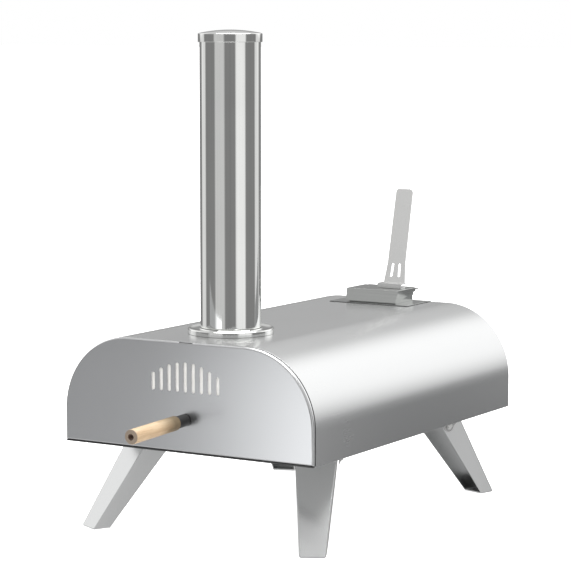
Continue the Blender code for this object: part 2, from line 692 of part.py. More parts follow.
def leg_frame(side, end):
    """Pivot, direction across the leg, and outward direction, for one corner of the body."""
    turn, pivot_x, from_end = FRONT_LEG_TURN, FRONT_PIVOT_X, FRONT_PIVOT_FROM_END
    if end > 0:
        turn, pivot_x, from_end = REAR_LEG_TURN, REAR_PIVOT_X, REAR_PIVOT_FROM_END
    across = Vector((side * math.cos(turn), -end * math.sin(turn), 0.0))
    outward = Vector((side * math.sin(turn), end * math.cos(turn), 0.0))
    pivot = Vector((side * pivot_x, MIDDLE_Y + end * (BODY_LENGTH / 2 - from_end), PIVOT_Z))
    return pivot, across, outward


def leg_half_width(z):
    return LEG_HALF_FOOT + (LEG_HALF_TOP - LEG_HALF_FOOT) * (z + PIVOT_Z) / UNDERSIDE_Z


def leg_solid(frame, points, narrower):
    """A solid whose outline lies in the leg's own plane, with flanks that close towards the foot."""
    pivot, across, outward = frame
    shape = bmesh.new()
    flanks = []
    for side in (-1, 1):
        flank = []
        for out, z in points:
            half = leg_half_width(z) - narrower
            flank.append(shape.verts.new(pivot + across * side * half + outward * out + Vector((0, 0, z))))
        flanks.append(flank)
    left, right = flanks
    shape.faces.new(left)
    shape.faces.new(list(reversed(right)))
    for index in range(len(points)):
        following = (index + 1) % len(points)
        shape.faces.new((left[index], left[following], right[following], right[index]))
    return shape


def make_leg(name, frame):
    pivot, across, _ = frame

    def web(z):
        return WEB_OFFSET / math.cos(LEG_LEAN) - z * math.tan(LEG_LEAN)

    heel_out = web(-PIVOT_Z) - LEG_HEEL_DEPTH / math.cos(LEG_LEAN)
    reach = math.hypot(heel_out, PIVOT_Z)
    tangent = math.atan2(-PIVOT_Z, heel_out) - math.acos(LEG_ROUND / reach)
    outline = [(web(LEG_ROUND), LEG_ROUND), (web(-PIVOT_Z), -PIVOT_Z), (heel_out, -PIVOT_Z)]
    steps = 10
    for step in range(steps + 1):
        angle = tangent + (-1.5 * math.pi - tangent) * step / steps
        outline.append((LEG_ROUND * math.cos(angle), LEG_ROUND * math.sin(angle)))
    leg = add_object("leg_" + name, leg_solid(frame, outline, 0.0), steel("leg_steel", 0.55, 0.32),
                     origin=pivot)
    inside = LEG_SHEET / math.cos(LEG_LEAN)
    high, low = 0.03, -PIVOT_Z + 0.0025
    channel = [(web(high) - inside, high), (web(low) - inside, low), (web(low) - 0.08, low), (-0.06, high)]
    cut(leg, leg_solid(frame, channel, LEG_SHEET))
    cut(leg, rod(BOLT_RADIUS + 0.0003, pivot - across * 0.04, pivot + across * 0.04, 20))


def make_leg_bracket(name, frame):
    """A folded clevis under the base: a plate with an ear outside each flank of the leg."""
    pivot, across, outward = frame
    top = UNDERSIDE_Z - 0.0003 - PIVOT_Z
    outline = [(-0.0130, top)]
    radius = 0.0095
    steps = 8
    for step in range(steps + 1):
        angle = math.radians(190.0 + 160.0 * step / steps)
        outline.append((radius * math.cos(angle), radius * math.sin(angle)))
    outline += [(0.0280, top - 0.0014), (0.0280, top)]
    inner = leg_half_width(LEG_ROUND) + 0.0005
    outer = inner + 0.0020

    def on_leg(u, v, w):
        return pivot + outward * u + Vector((0, 0, v)) + across * w

    bracket = add_object("leg_bracket_" + name, extrude_outline(outline, on_leg, -outer, outer),
                         steel("bracket_steel", 0.45, 0.35))
    gap = [(-0.02, -0.02), (-0.02, top - 0.0014), (0.04, top - 0.0014), (0.04, -0.02)]
    cut(bracket, extrude_outline(gap, on_leg, -inner, inner))
    cut(bracket, rod(BOLT_RADIUS + 0.0003, pivot - across * 0.04, pivot + across * 0.04, 20))


def make_leg_bolt(name, frame):
    pivot, across, _ = frame
    face = leg_half_width(LEG_ROUND) + 0.0028
    start = -face - 0.0050
    bolt = [(0.0, start), (BOLT_RADIUS, start), (BOLT_RADIUS, face), (0.0055, face),
            (0.0055, face + 0.0022), (0.0040, face + 0.0036), (0.0, face + 0.0036)]
    bolt_steel = steel("bolt_steel", 0.6, 0.25)
    add_object("leg_bolt_" + name, turned(bolt, pivot, across, 20), bolt_steel, smooth=True)
    bore = (BOLT_RADIUS + 0.0003) / math.cos(math.pi / 6)
    nut = [(bore, -face - 0.0042), (0.0062, -face - 0.0042), (0.0062, -face), (bore, -face)]
    add_object("leg_nut_" + name, turned(nut, pivot, across, 6), bolt_steel)


def make_legs():
    for end, end_name in ((-1, "front"), (1, "rear")):
        for side, side_name in ((-1, "left"), (1, "right")):
            name = end_name + "_" + side_name
            frame = leg_frame(side, end)
            make_leg(name, frame)
            make_leg_bracket(name, frame)
            make_leg_bolt(name, frame)


def main():
    clear_scene()
    make_shell()
    make_base_pan()
    make_front_frame()
    make_rear_panel()
    make_liner()
    make_insulation()
    make_stone_and_rails()
    make_baffle()
    make_chimney()
    make_hopper()
    make_lid()
    make_burner()
    make_door()
    make_legs()


main()
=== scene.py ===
import json
import math

import bmesh
import bpy
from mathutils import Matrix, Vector


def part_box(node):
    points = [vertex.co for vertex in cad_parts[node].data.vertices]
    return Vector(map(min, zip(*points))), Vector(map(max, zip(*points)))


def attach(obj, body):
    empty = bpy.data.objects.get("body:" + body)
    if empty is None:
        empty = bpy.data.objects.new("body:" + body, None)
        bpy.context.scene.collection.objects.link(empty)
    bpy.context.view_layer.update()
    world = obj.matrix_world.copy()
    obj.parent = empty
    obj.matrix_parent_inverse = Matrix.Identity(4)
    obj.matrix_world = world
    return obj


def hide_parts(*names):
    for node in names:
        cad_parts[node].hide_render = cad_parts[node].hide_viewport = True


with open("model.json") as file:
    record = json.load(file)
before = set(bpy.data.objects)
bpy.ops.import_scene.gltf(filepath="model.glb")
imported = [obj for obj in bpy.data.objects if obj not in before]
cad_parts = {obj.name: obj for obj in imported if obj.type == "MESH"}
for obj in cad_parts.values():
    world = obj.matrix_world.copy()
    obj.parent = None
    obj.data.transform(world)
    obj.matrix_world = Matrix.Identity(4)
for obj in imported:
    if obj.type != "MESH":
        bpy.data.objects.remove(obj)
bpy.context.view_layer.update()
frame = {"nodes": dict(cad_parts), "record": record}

print("frame loaded,", len(frame["nodes"]), "nodes")

nodes = frame["nodes"]
slotOf = {row["node"]: row["material_slot"] for row in frame["record"]["subparts"]}
scene = bpy.context.scene
scene.view_settings.view_transform = "Standard"
scene.view_settings.look = "None"

# Sizes that the pieces share, in metres; the outer ones are read from the frame
shellLow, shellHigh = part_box("outer_shell")
doorLow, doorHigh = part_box("door_outer")
body = {"half": shellHigh.x, "top": shellHigh.z, "under": shellLow.z, "corner": 0.106, "sheet": 0.001,
        "face": doorLow.y, "rim": doorHigh.y, "front": doorHigh.y + 0.0015, "rear": shellHigh.y,
        "arcSteps": 44, "gap": 0.0004, "chamberInset": 0.024, "chamberFloor": 0.15}

# Where the camera stands
camera = {"azimuth": 31.18, "elevation": 6.39, "place": (1.7231, -2.8299, 0.7032), "lens": 146.74}


def makeCamera():
    data = bpy.data.cameras.new("camera")
    data.lens = camera["lens"]
    data.clip_end = 200.0
    item = bpy.data.objects.new("camera", data)
    item.location = camera["place"]
    item.rotation_euler = (math.radians(90 - camera["elevation"]), 0.0, math.radians(camera["azimuth"]))
    scene.collection.objects.link(item)
    scene.camera = item


def newNode(tree, kind, **values):
    node = tree.nodes.new(kind)
    for key, value in values.items():
        setattr(node, key, value)
    return node


def plug(tree, socket, value):
    if isinstance(value, bpy.types.NodeSocket):
        tree.links.new(value, socket)
    else:
        socket.default_value = value


def maths(tree, operation, first, second=None, third=None, clamp=False):
    node = newNode(tree, "ShaderNodeMath", operation=operation, use_clamp=clamp)
    for index, value in enumerate((first, second, third)):
        if value is not None:
            plug(tree, node.inputs[index], value)
    return node.outputs[0]


# The studio round the oven: an even grey room with four upright soft strips and two high soft boxes,
# placed by compass angle from the camera
studio = {
    "cameraAngle": -58.9, "wall": 0.3, "softEdge": 8, "top": 0.85,
    "strips": [{"azimuth": 40, "width": 30, "level": 1.2}, {"azimuth": -40, "width": 30, "level": 0.8},
               {"azimuth": 120, "width": 20, "level": 1.0}, {"azimuth": -120, "width": 20, "level": 1.0}],
    "boxes": [{"azimuth": 130, "elevation": 25, "inner": 10, "outer": 30, "power": 1.0},
              {"azimuth": -130, "elevation": 25, "inner": 10, "outer": 30, "power": 0.6}],
}


def makeWorld():
    world = bpy.data.worlds.new("studio")
    world.use_nodes = True
    scene.world = world
    tree = world.node_tree
    tree.nodes.clear()
    coords = newNode(tree, "ShaderNodeTexCoord")
    split = newNode(tree, "ShaderNodeSeparateXYZ")
    turn = newNode(tree, "ShaderNodeVectorRotate", rotation_type="Z_AXIS")
    turn.inputs["Angle"].default_value = -math.radians(studio["cameraAngle"])
    tree.links.new(coords.outputs["Generated"], turn.inputs["Vector"])
    tree.links.new(turn.outputs[0], split.inputs[0])
    angle = maths(tree, "ARCTAN2", split.outputs["Y"], split.outputs["X"])
    walls = studio["wall"]
    for strip in studio["strips"]:
        offset = maths(tree, "ABSOLUTE", maths(tree, "SUBTRACT", angle, math.radians(strip["azimuth"])))
        lit = newNode(tree, "ShaderNodeMapRange", interpolation_type="SMOOTHSTEP")
        lit.inputs["From Min"].default_value = math.radians(strip["width"] / 2 + studio["softEdge"])
        lit.inputs["From Max"].default_value = math.radians(strip["width"] / 2)
        lit.inputs["To Max"].default_value = strip["level"] - studio["wall"]
        tree.links.new(offset, lit.inputs["Value"])
        walls = maths(tree, "ADD", lit.outputs["Result"], walls)
    # the walls fade into an even ceiling and floor
    height = maths(tree, "ABSOLUTE", maths(tree, "ADD", split.outputs["Z"], 0.06))
    fade = newNode(tree, "ShaderNodeMapRange", interpolation_type="SMOOTHSTEP")
    fade.inputs["From Min"].default_value = 0.10
    fade.inputs["From Max"].default_value = 0.42
    tree.links.new(height, fade.inputs["Value"])
    mix = newNode(tree, "ShaderNodeMix", data_type="FLOAT")
    tree.links.new(fade.outputs["Result"], mix.inputs["Factor"])
    tree.links.new(walls, mix.inputs["A"])
    mix.inputs["B"].default_value = studio["top"]
    level = mix.outputs["Result"]
    for softBox in studio["boxes"]:
        azimuth = math.radians(softBox["azimuth"])
        rise = math.radians(softBox["elevation"])
        facing = newNode(tree, "ShaderNodeVectorMath", operation="DOT_PRODUCT")
        tree.links.new(turn.outputs[0], facing.inputs[0])
        facing.inputs[1].default_value = (math.cos(azimuth) * math.cos(rise),
                                          math.sin(azimuth) * math.cos(rise),
                                          math.sin(rise))
        spread = newNode(tree, "ShaderNodeMapRange", interpolation_type="SMOOTHSTEP")
        spread.inputs["From Min"].default_value = math.cos(math.radians(softBox["outer"]))
        spread.inputs["From Max"].default_value = math.cos(math.radians(softBox["inner"]))
        spread.inputs["To Max"].default_value = softBox["power"]
        tree.links.new(facing.outputs["Value"], spread.inputs["Value"])
        level = maths(tree, "ADD", level, spread.outputs["Result"])
    shade = newNode(tree, "ShaderNodeBackground")
    tree.links.new(maths(tree, "MAXIMUM", level, 0.02), shade.inputs["Strength"])
    # seen directly, the room is plain white
    plain = newNode(tree, "ShaderNodeBackground")
    plain.inputs["Color"].default_value = (1.0, 1.0, 1.0, 1.0)
    ray = newNode(tree, "ShaderNodeLightPath")
    either = newNode(tree, "ShaderNodeMixShader")
    tree.links.new(ray.outputs["Is Camera Ray"], either.inputs[0])
    tree.links.new(shade.outputs[0], either.inputs[1])
    tree.links.new(plain.outputs[0], either.inputs[2])
    out = newNode(tree, "ShaderNodeOutputWorld")
    tree.links.new(either.outputs[0], out.inputs["Surface"])


# A pale floor, an overhead light, and low cards that give the door and the side their soft gradients
stage = {"floorHalf": 60.0, "floorShade": 0.9, "floorGlow": 0.8, "overheadPower": 150,
         "cards": [{"name": "doorCard", "corners": ((-1.25, -1.05, -0.45), (-0.02, -1.05, 0.19)), "axis": "X",
                    "span": (-0.58, -0.20), "levels": (0.44, 1.70), "colour": (0.975, 0.985, 1.0)},
                   {"name": "sideCard", "corners": ((1.0, 0.91, -0.8), (1.0, 2.6, 0.15)), "axis": "Z",
                    "span": (-0.32, -0.02), "levels": (0.17, 0.31), "colour": (0.98, 0.99, 1.0)},
                   {"name": "legCard", "corners": ((1.0, 0.58, -0.45), (1.0, 0.90, 0.0)), "axis": "Z",
                    "span": (-0.3, 0.0), "levels": (0.82, 0.82), "colour": (1.0, 1.0, 1.0)}]}


def flatPlane(name, corners):
    mesh = bpy.data.meshes.new(name)
    mesh.from_pydata(corners, [], [(0, 1, 2, 3)])
    item = bpy.data.objects.new(name, mesh)
    scene.collection.objects.link(item)
    return item


def makeStage():
    half = stage["floorHalf"]
    floor = flatPlane("floor", [(-half, -half, 0), (half, -half, 0), (half, half, 0), (-half, half, 0)])
    floor.visible_glossy = False
    material = bpy.data.materials.new("paleFloor")
    material.use_nodes = True
    shader = material.node_tree.nodes["Principled BSDF"]
    shade = stage["floorShade"]
    shader.inputs["Base Color"].default_value = (shade, shade, shade, 1.0)
    shader.inputs["Roughness"].default_value = 0.9
    shader.inputs["Emission Color"].default_value = (1.0, 1.0, 1.0, 1.0)
    ray = newNode(material.node_tree, "ShaderNodeLightPath")
    glow = maths(material.node_tree, "MULTIPLY_ADD", ray.outputs["Is Camera Ray"], stage["floorGlow"], 0.08)
    material.node_tree.links.new(glow, shader.inputs["Emission Strength"])
    floor.data.materials.append(material)

    data = bpy.data.lights.new("overhead", "AREA")
    data.shape = "RECTANGLE"
    data.size = data.size_y = 3.0
    data.energy = stage["overheadPower"]
    light = bpy.data.objects.new("overhead", data)
    light.location = (0.3, 0.2, 3.2)
    light.visible_camera = False
    scene.collection.objects.link(light)

    for facts in stage["cards"]:
        makeCard(facts)


def makeCard(facts):
    (x0, y0, low), (x1, y1, high) = facts["corners"]
    card = flatPlane(facts["name"], [(x0, y0, low), (x1, y1, low), (x1, y1, high), (x0, y0, high)])
    card.visible_camera = card.visible_diffuse = card.visible_shadow = False
    glow = bpy.data.materials.new(facts["name"])
    glow.use_nodes = True
    tree = glow.node_tree
    tree.nodes.clear()
    coords = newNode(tree, "ShaderNodeTexCoord")
    split = newNode(tree, "ShaderNodeSeparateXYZ")
    tree.links.new(coords.outputs["Object"], split.inputs[0])
    grade = newNode(tree, "ShaderNodeMapRange", interpolation_type="SMOOTHSTEP")
    grade.inputs["From Min"].default_value, grade.inputs["From Max"].default_value = facts["span"]
    grade.inputs["To Min"].default_value, grade.inputs["To Max"].default_value = facts["levels"]
    tree.links.new(split.outputs[facts["axis"]], grade.inputs["Value"])
    shine = newNode(tree, "ShaderNodeEmission")
    shine.inputs["Color"].default_value = (*facts["colour"], 1.0)
    tree.links.new(grade.outputs["Result"], shine.inputs["Strength"])
    out = newNode(tree, "ShaderNodeOutputMaterial")
    tree.links.new(shine.outputs[0], out.inputs["Surface"])
    card.data.materials.append(glow)


makeCamera()
makeWorld()
makeStage()
print("camera, studio and floor made")


def startMaterial(name):
    material = bpy.data.materials.new(name)
    material.use_nodes = True
    tree = material.node_tree
    shader = tree.nodes["Principled BSDF"]
    coords = newNode(tree, "ShaderNodeTexCoord")
    return material, tree, shader, coords.outputs["Object"]


def stretched(tree, coords, scale, place=(0.0, 0.0, 0.0), turn=(0.0, 0.0, 0.0)):
    mapping = newNode(tree, "ShaderNodeMapping")
    mapping.inputs["Location"].default_value = place
    mapping.inputs["Rotation"].default_value = turn
    mapping.inputs["Scale"].default_value = scale
    tree.links.new(coords, mapping.inputs["Vector"])
    return mapping.outputs[0]


def noise(tree, vector, scale=1.0, detail=4.0, roughness=0.5):
    node = newNode(tree, "ShaderNodeTexNoise")
    node.inputs["Scale"].default_value = scale
    node.inputs["Detail"].default_value = detail
    node.inputs["Roughness"].default_value = roughness
    tree.links.new(vector, node.inputs["Vector"])
    return node.outputs["Fac"]


def spread(tree, value, low, high, fromLow=0.0, fromHigh=1.0):
    node = newNode(tree, "ShaderNodeMapRange")
    node.inputs["From Min"].default_value = fromLow
    node.inputs["From Max"].default_value = fromHigh
    node.inputs["To Min"].default_value = low
    node.inputs["To Max"].default_value = high
    tree.links.new(value, node.inputs["Value"])
    return node.outputs["Result"]


def blendColours(tree, factor, first, second, mode="MIX"):
    node = newNode(tree, "ShaderNodeMix", data_type="RGBA", blend_type=mode)
    plug(tree, node.inputs["Factor"], factor)
    for socket, value in ((node.inputs[6], first), (node.inputs[7], second)):
        if isinstance(value, tuple):
            value = (*value, 1.0)
        plug(tree, socket, value)
    return node.outputs[2]


def relief(tree, shader, height, strength, distance):
    bump = newNode(tree, "ShaderNodeBump")
    bump.inputs["Strength"].default_value = strength
    bump.inputs["Distance"].default_value = distance
    tree.links.new(height, bump.inputs["Height"])
    tree.links.new(bump.outputs[0], shader.inputs["Normal"])


# Brushed sheet: colour, roughness, the grain's stretch in X, Y and Z, depth of the grain, and smudges
def brushedSteel(name, colour, roughness, stretch, grain=0.08, smudge=0.10, streak=0.10):
    material, tree, shader, coords = startMaterial(name)
    shader.inputs["Metallic"].default_value = 1.0
    streaks = noise(tree, stretched(tree, coords, stretch), 1.0, 6.0, 0.6)
    clouds = noise(tree, coords, 9.0, 3.0, 0.55)
    level = maths(tree, "MULTIPLY", spread(tree, streaks, 1.0 - streak, 1.0 + streak), spread(tree, clouds,
                                                                                              1.0 - smudge * 0.4,
                                                                           1.0 + smudge * 0.4))
    tinted = newNode(tree, "ShaderNodeVectorMath", operation="SCALE")
    tinted.inputs[0].default_value = colour
    tree.links.new(level, tinted.inputs["Scale"])
    tree.links.new(tinted.outputs[0], shader.inputs["Base Color"])
    worn = maths(tree, "MULTIPLY", spread(tree, streaks, roughness * (1 - 2 * streak),
                                          roughness * (1 + 2 * streak)),
                 spread(tree, clouds, 1.0 - smudge, 1.0 + smudge))
    tree.links.new(worn, shader.inputs["Roughness"])
    relief(tree, shader, streaks, grain, 0.0002)
    return material


# Steel that has been in the fire: straw, brown and blue heat colours in soft clouds over a dull skin
def firedSteel(name):
    material, tree, shader, coords = startMaterial(name)
    shader.inputs["Metallic"].default_value = 1.0
    clouds = noise(tree, coords, 7.0, 5.0, 0.6)
    ramp = newNode(tree, "ShaderNodeValToRGB")
    stops = ramp.color_ramp.elements
    stops[0].position, stops[0].color = 0.32, (0.20, 0.19, 0.18, 1.0)
    stops[1].position, stops[1].color = 0.70, (0.34, 0.33, 0.31, 1.0)
    for position, colour in ((0.45, (0.36, 0.28, 0.19, 1.0)), (0.56, (0.27, 0.25, 0.28, 1.0))):
        stop = stops.new(position)
        stop.color = colour
    tree.links.new(clouds, ramp.inputs[0])
    fine = noise(tree, stretched(tree, coords, (300, 14, 300)), 1.0, 5.0)
    tree.links.new(blendColours(tree, 0.35, ramp.outputs["Color"], fine, "OVERLAY"),
                   shader.inputs["Base Color"])
    tree.links.new(spread(tree, clouds, 0.38, 0.62), shader.inputs["Roughness"])
    relief(tree, shader, fine, 0.1, 0.0002)
    return material


handle = {"rootZ": 0.1736, "droop": math.radians(1.8), "start": 0.025, "length": 0.103, "radius": 0.010,
          "bore": 0.004, "screwBore": 0.0026, "seat": 0.072, "spacerRadius": 0.0085}
handleDirection = Vector((0.0, -math.cos(handle["droop"]), -math.sin(handle["droop"])))
handleRoot = Vector((0.0, body["face"], handle["rootZ"]))


# Pale turned beech: long grain with rays and a few soft knots, with painted shade darkening its root
def beechWood(name):
    material, tree, shader, coords = startMaterial(name)
    centred = stretched(tree, coords, (1, 1, 1), place=(0.0, -handleRoot.y, -handleRoot.z))
    split = newNode(tree, "ShaderNodeSeparateXYZ")
    tree.links.new(centred, split.inputs[0])
    along = split.outputs["Y"]
    grain = noise(tree, stretched(tree, centred, (420, 26, 420)), 1.0, 6.0, 0.62)
    wander = noise(tree, stretched(tree, centred, (60, 16, 60)), 1.0, 3.0)
    rays = noise(tree, stretched(tree, centred, (900, 160, 900)), 1.0, 2.0)
    colour = blendColours(tree, spread(tree, grain, 0.0, 1.0, 0.3, 0.72), (0.66, 0.49, 0.315), (0.50, 0.335,
                                                                                                0.195))
    colour = blendColours(tree, spread(tree, wander, 0.0, 0.75, 0.45, 0.75), colour, (0.74, 0.61, 0.43))
    colour = blendColours(tree, spread(tree, rays, 0.0, 0.35, 0.6, 0.8), colour, (0.34, 0.20, 0.10))
    knots = newNode(tree, "ShaderNodeTexVoronoi")
    knots.inputs["Scale"].default_value = 1.0
    tree.links.new(stretched(tree, centred, (62, 30, 62), place=(0.3, 0.45, 0.1)), knots.inputs["Vector"])
    colour = blendColours(tree, spread(tree, knots.outputs["Distance"], 0.75, 0.0, 0.04, 0.30), colour,
                          (0.26, 0.16, 0.075))
    # painted shade darkening the root, then the grey cut end
    root = spread(tree, along, 0.0, 0.86, -handle["start"] - 0.048, -handle["start"] - 0.012)
    colour = blendColours(tree, root, colour, (0.115, 0.085, 0.045))
    end = handle["start"] + handle["length"] * math.cos(handle["droop"])
    cutEnd = spread(tree, along, 1.0, 0.0, -end + 0.0006, -end + 0.0012)
    distance = newNode(tree, "ShaderNodeVectorMath", operation="LENGTH")
    flattened = stretched(tree, centred, (1, 0, 1), place=(0.0, 0.0, end * math.sin(handle["droop"])))
    tree.links.new(flattened, distance.inputs[0])
    rings = maths(tree, "SINE", maths(tree, "MULTIPLY", distance.outputs["Value"], 6200.0))
    endColour = blendColours(tree, spread(tree, rings, 0.0, 0.5, -1.0, 1.0), (0.27, 0.215, 0.165), (0.17,
                                                                                                    0.125,
                                                                                                    0.085))
    colour = blendColours(tree, cutEnd, colour, endColour)
    # painted shade: the walls of the bore are painted near-black, as shadow inside the hole
    paintedBoreShade = spread(tree, distance.outputs["Value"], 1.0, 0.0, handle["bore"] + 0.0001,
                   handle["bore"] + 0.0006)
    tree.links.new(blendColours(tree, paintedBoreShade, colour, (0.075, 0.032, 0.010)), shader.inputs["Base Color"])
    tree.links.new(spread(tree, grain, 0.42, 0.62), shader.inputs["Roughness"])
    shader.inputs["Specular IOR Level"].default_value = 0.4
    relief(tree, shader, grain, 0.25, 0.0003)
    return material


# Cordierite: fine speckled ceramic with a few darker grains and baked stains
def speckledStone(name):
    material, tree, shader, coords = startMaterial(name)
    specks = noise(tree, coords, 900.0, 3.0, 0.7)
    stains = noise(tree, coords, 11.0, 4.0, 0.55)
    colour = blendColours(tree, spread(tree, specks, 0.0, 1.0, 0.42, 0.66), (0.66, 0.56, 0.42), (0.45, 0.36,
                                                                                                 0.25))
    colour = blendColours(tree, spread(tree, stains, 0.0, 0.45, 0.5, 0.75), colour, (0.34, 0.25, 0.16))
    tree.links.new(colour, shader.inputs["Base Color"])
    shader.inputs["Roughness"].default_value = 0.92
    relief(tree, shader, specks, 0.5, 0.0005)
    return material


# Needled ceramic blanket: pale, matted and slightly uneven
def fibreWool(name):
    material, tree, shader, coords = startMaterial(name)
    mat = noise(tree, stretched(tree, coords, (420, 130, 420)), 1.0, 6.0, 0.7)
    tufts = noise(tree, coords, 45.0, 4.0, 0.6)
    colour = blendColours(tree, mat, (0.93, 0.925, 0.91), (0.84, 0.83, 0.80))
    tree.links.new(blendColours(tree, spread(tree, tufts, 0.0, 0.5, 0.4, 0.8), colour, (0.76, 0.74, 0.70)),
                   shader.inputs["Base Color"])
    shader.inputs["Roughness"].default_value = 0.97
    shader.inputs["Sheen Weight"].default_value = 0.3
    relief(tree, shader, tufts, 0.7, 0.0015)
    return material


finishes = {
    "shell_steel": brushedSteel("shellSteel", (0.655, 0.66, 0.66), 0.27, (1100, 4, 1100), 0.0005, 0.03,
                                0.006),
    "door_steel": brushedSteel("doorSteel", (0.67, 0.675, 0.68), 0.26, (1300, 1300, 5), 0.006, 0.04, 0.018),
    "polished_steel": brushedSteel("polishedSteel", (0.82, 0.825, 0.81), 0.055, (300, 300, 2), 0.012, 0.2),
    "hopper_steel": brushedSteel("hopperSteel", (0.47, 0.48, 0.47), 0.2, (12, 700, 700), 0.06, 0.08),
    "strip_steel": brushedSteel("stripSteel", (0.86, 0.86, 0.85), 0.22, (900, 900, 8), 0.04, 0.08, 0.07),
    "leg_steel": brushedSteel("legSteel", (0.67, 0.675, 0.675), 0.25, (700, 700, 10), 0.04, 0.08, 0.06),
    "bracket_steel": brushedSteel("bracketSteel", (0.55, 0.55, 0.55), 0.3, (400, 400, 30), 0.06, 0.1),
    "fastener_steel": brushedSteel("fastenerSteel", (0.68, 0.68, 0.67), 0.2, (260, 260, 260), 0.05, 0.15),
    "plate_steel": brushedSteel("plateSteel", (0.66, 0.665, 0.665), 0.3, (10, 700, 700), 0.06, 0.08),
    # near-black steel: dark steel in its own right, and on the grip's spacer also painted shade round the grip's root
    "spacer_steel": brushedSteel("spacerSteel", (0.10, 0.10, 0.10), 0.45, (300, 300, 300), 0.05, 0.1),
    "fire_steel": firedSteel("firedSteel"),
    "handle_wood": beechWood("beechWood"),
    "cordierite": speckledStone("cordierite"),
    "ceramic_fibre": fibreWool("ceramicFibre"),
}
print("finishes made:", len(finishes))


def newPiece(name, vertices, faces):
    mesh = bpy.data.meshes.new(name)
    mesh.from_pydata([tuple(vertex) for vertex in vertices], [], faces)
    shape = bmesh.new()
    shape.from_mesh(mesh)
    bmesh.ops.recalc_face_normals(shape, faces=shape.faces)
    shape.to_mesh(mesh)
    shape.free()
    item = bpy.data.objects.new(name, mesh)
    scene.collection.objects.link(item)
    return item


def settle(item):
    bpy.context.view_layer.update()
    depsgraph = bpy.context.evaluated_depsgraph_get()
    plain = bpy.data.meshes.new_from_object(item.evaluated_get(depsgraph))
    item.modifiers.clear()
    item.data = plain
    return item


def smooth(item, angle=35.0):
    item.data.shade_smooth()
    item.data.set_sharp_from_angle(angle=math.radians(angle))
    return item


def carve(item, tool):
    step = item.modifiers.new("carve", "BOOLEAN")
    step.operation = "DIFFERENCE"
    step.solver = "EXACT"
    step.object = tool
    settle(item)
    bpy.data.objects.remove(tool, do_unlink=True)
    return item


def softEdges(item, width, segments=3, angle=32.0, weighted=False):
    item.data.shade_smooth()
    bevel = item.modifiers.new("softEdges", "BEVEL")
    bevel.width = width
    bevel.segments = segments
    bevel.limit_method = "WEIGHT" if weighted else "ANGLE"
    bevel.angle_limit = math.radians(angle)
    bevel.use_clamp_overlap = not weighted
    bevel.miter_outer = "MITER_ARC"
    even = item.modifiers.new("evenNormals", "WEIGHTED_NORMAL")
    even.keep_sharp = True
    even.weight = 80
    return settle(item)


def hand(item, slotName, bodyName, *replaced):
    item.data.materials.clear()
    item.data.materials.append(finishes[slotName])
    for face in item.data.polygons:
        face.material_index = 0
    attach(item, bodyName)
    if replaced:
        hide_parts(*replaced)
    return item


def box(name, low, high):
    corners = [(x, y, z) for z in (low[2], high[2]) for x, y in ((low[0], low[1]), (high[0], low[1]),
                                                               (high[0], high[1]), (low[0], high[1]))]
    faces = [(0, 3, 2, 1), (4, 5, 6, 7), (0, 1, 5, 4), (1, 2, 6, 5), (2, 3, 7, 6), (3, 0, 4, 7)]
    return newPiece(name, corners, faces)


def lathe(name, profile, centre, direction=(0.0, 0.0, 1.0), steps=144):
    turn = Vector((0.0, 0.0, 1.0)).rotation_difference(Vector(direction)).to_matrix()
    centre = Vector(centre)
    vertices, rings, faces = [], [], []
    for radius, height in profile:
        count = 1 if radius < 1e-7 else steps
        rings.append((len(vertices), count))
        for step in range(count):
            angle = 2 * math.pi * step / steps
            spoke = Vector((radius * math.cos(angle), radius * math.sin(angle), height))
            vertices.append(centre + turn @ spoke)
    for index, (first, count) in enumerate(rings):
        second, other = rings[(index + 1) % len(rings)]
        if count == 1 and other == 1:
            continue
        for step in range(steps):
            following = (step + 1) % steps
            if count == 1:
                faces.append((first, second + following, second + step))
            elif other == 1:
                faces.append((first + step, first + following, second))
            else:
                faces.append((first + step, first + following, second + following, second + step))
    return smooth(newPiece(name, vertices, faces))


def arc(centre, radius, start, end, steps=6):
    angles = [math.radians(start + (end - start) * step / steps) for step in range(steps + 1)]
    return [(centre[0] + radius * math.cos(angle), centre[1] + radius * math.sin(angle)) for angle in angles]


def archOutline(inset, bottom):
    half = body["half"] - inset
    radius = body["corner"] - inset
    middle = body["top"] - body["corner"]
    points = [(-half, bottom)]
    for side, start, end in ((-1, 180, 90), (1, 90, 0)):
        points += arc((side * (half - radius), middle), radius, start, end, body["arcSteps"])
    return points + [(half, bottom)]


def archLoft(name, stations, closed=False):
    vertices, faces = [], []
    for inset, bottom, y in stations:
        ring = archOutline(inset, bottom)
        vertices += [(x, y, z) for x, z in ring]
    count = len(ring)
    for index in range(len(stations) if closed else len(stations) - 1):
        first, second = index * count, (index + 1) % len(stations) * count
        for step in range(count):
            following = (step + 1) % count
            faces.append((first + step, first + following, second + following, second + step))
    if not closed:
        faces.append(tuple(range(count)))
        faces.append(tuple(range(len(vertices) - count, len(vertices))))
    return newPiece(name, vertices, faces)


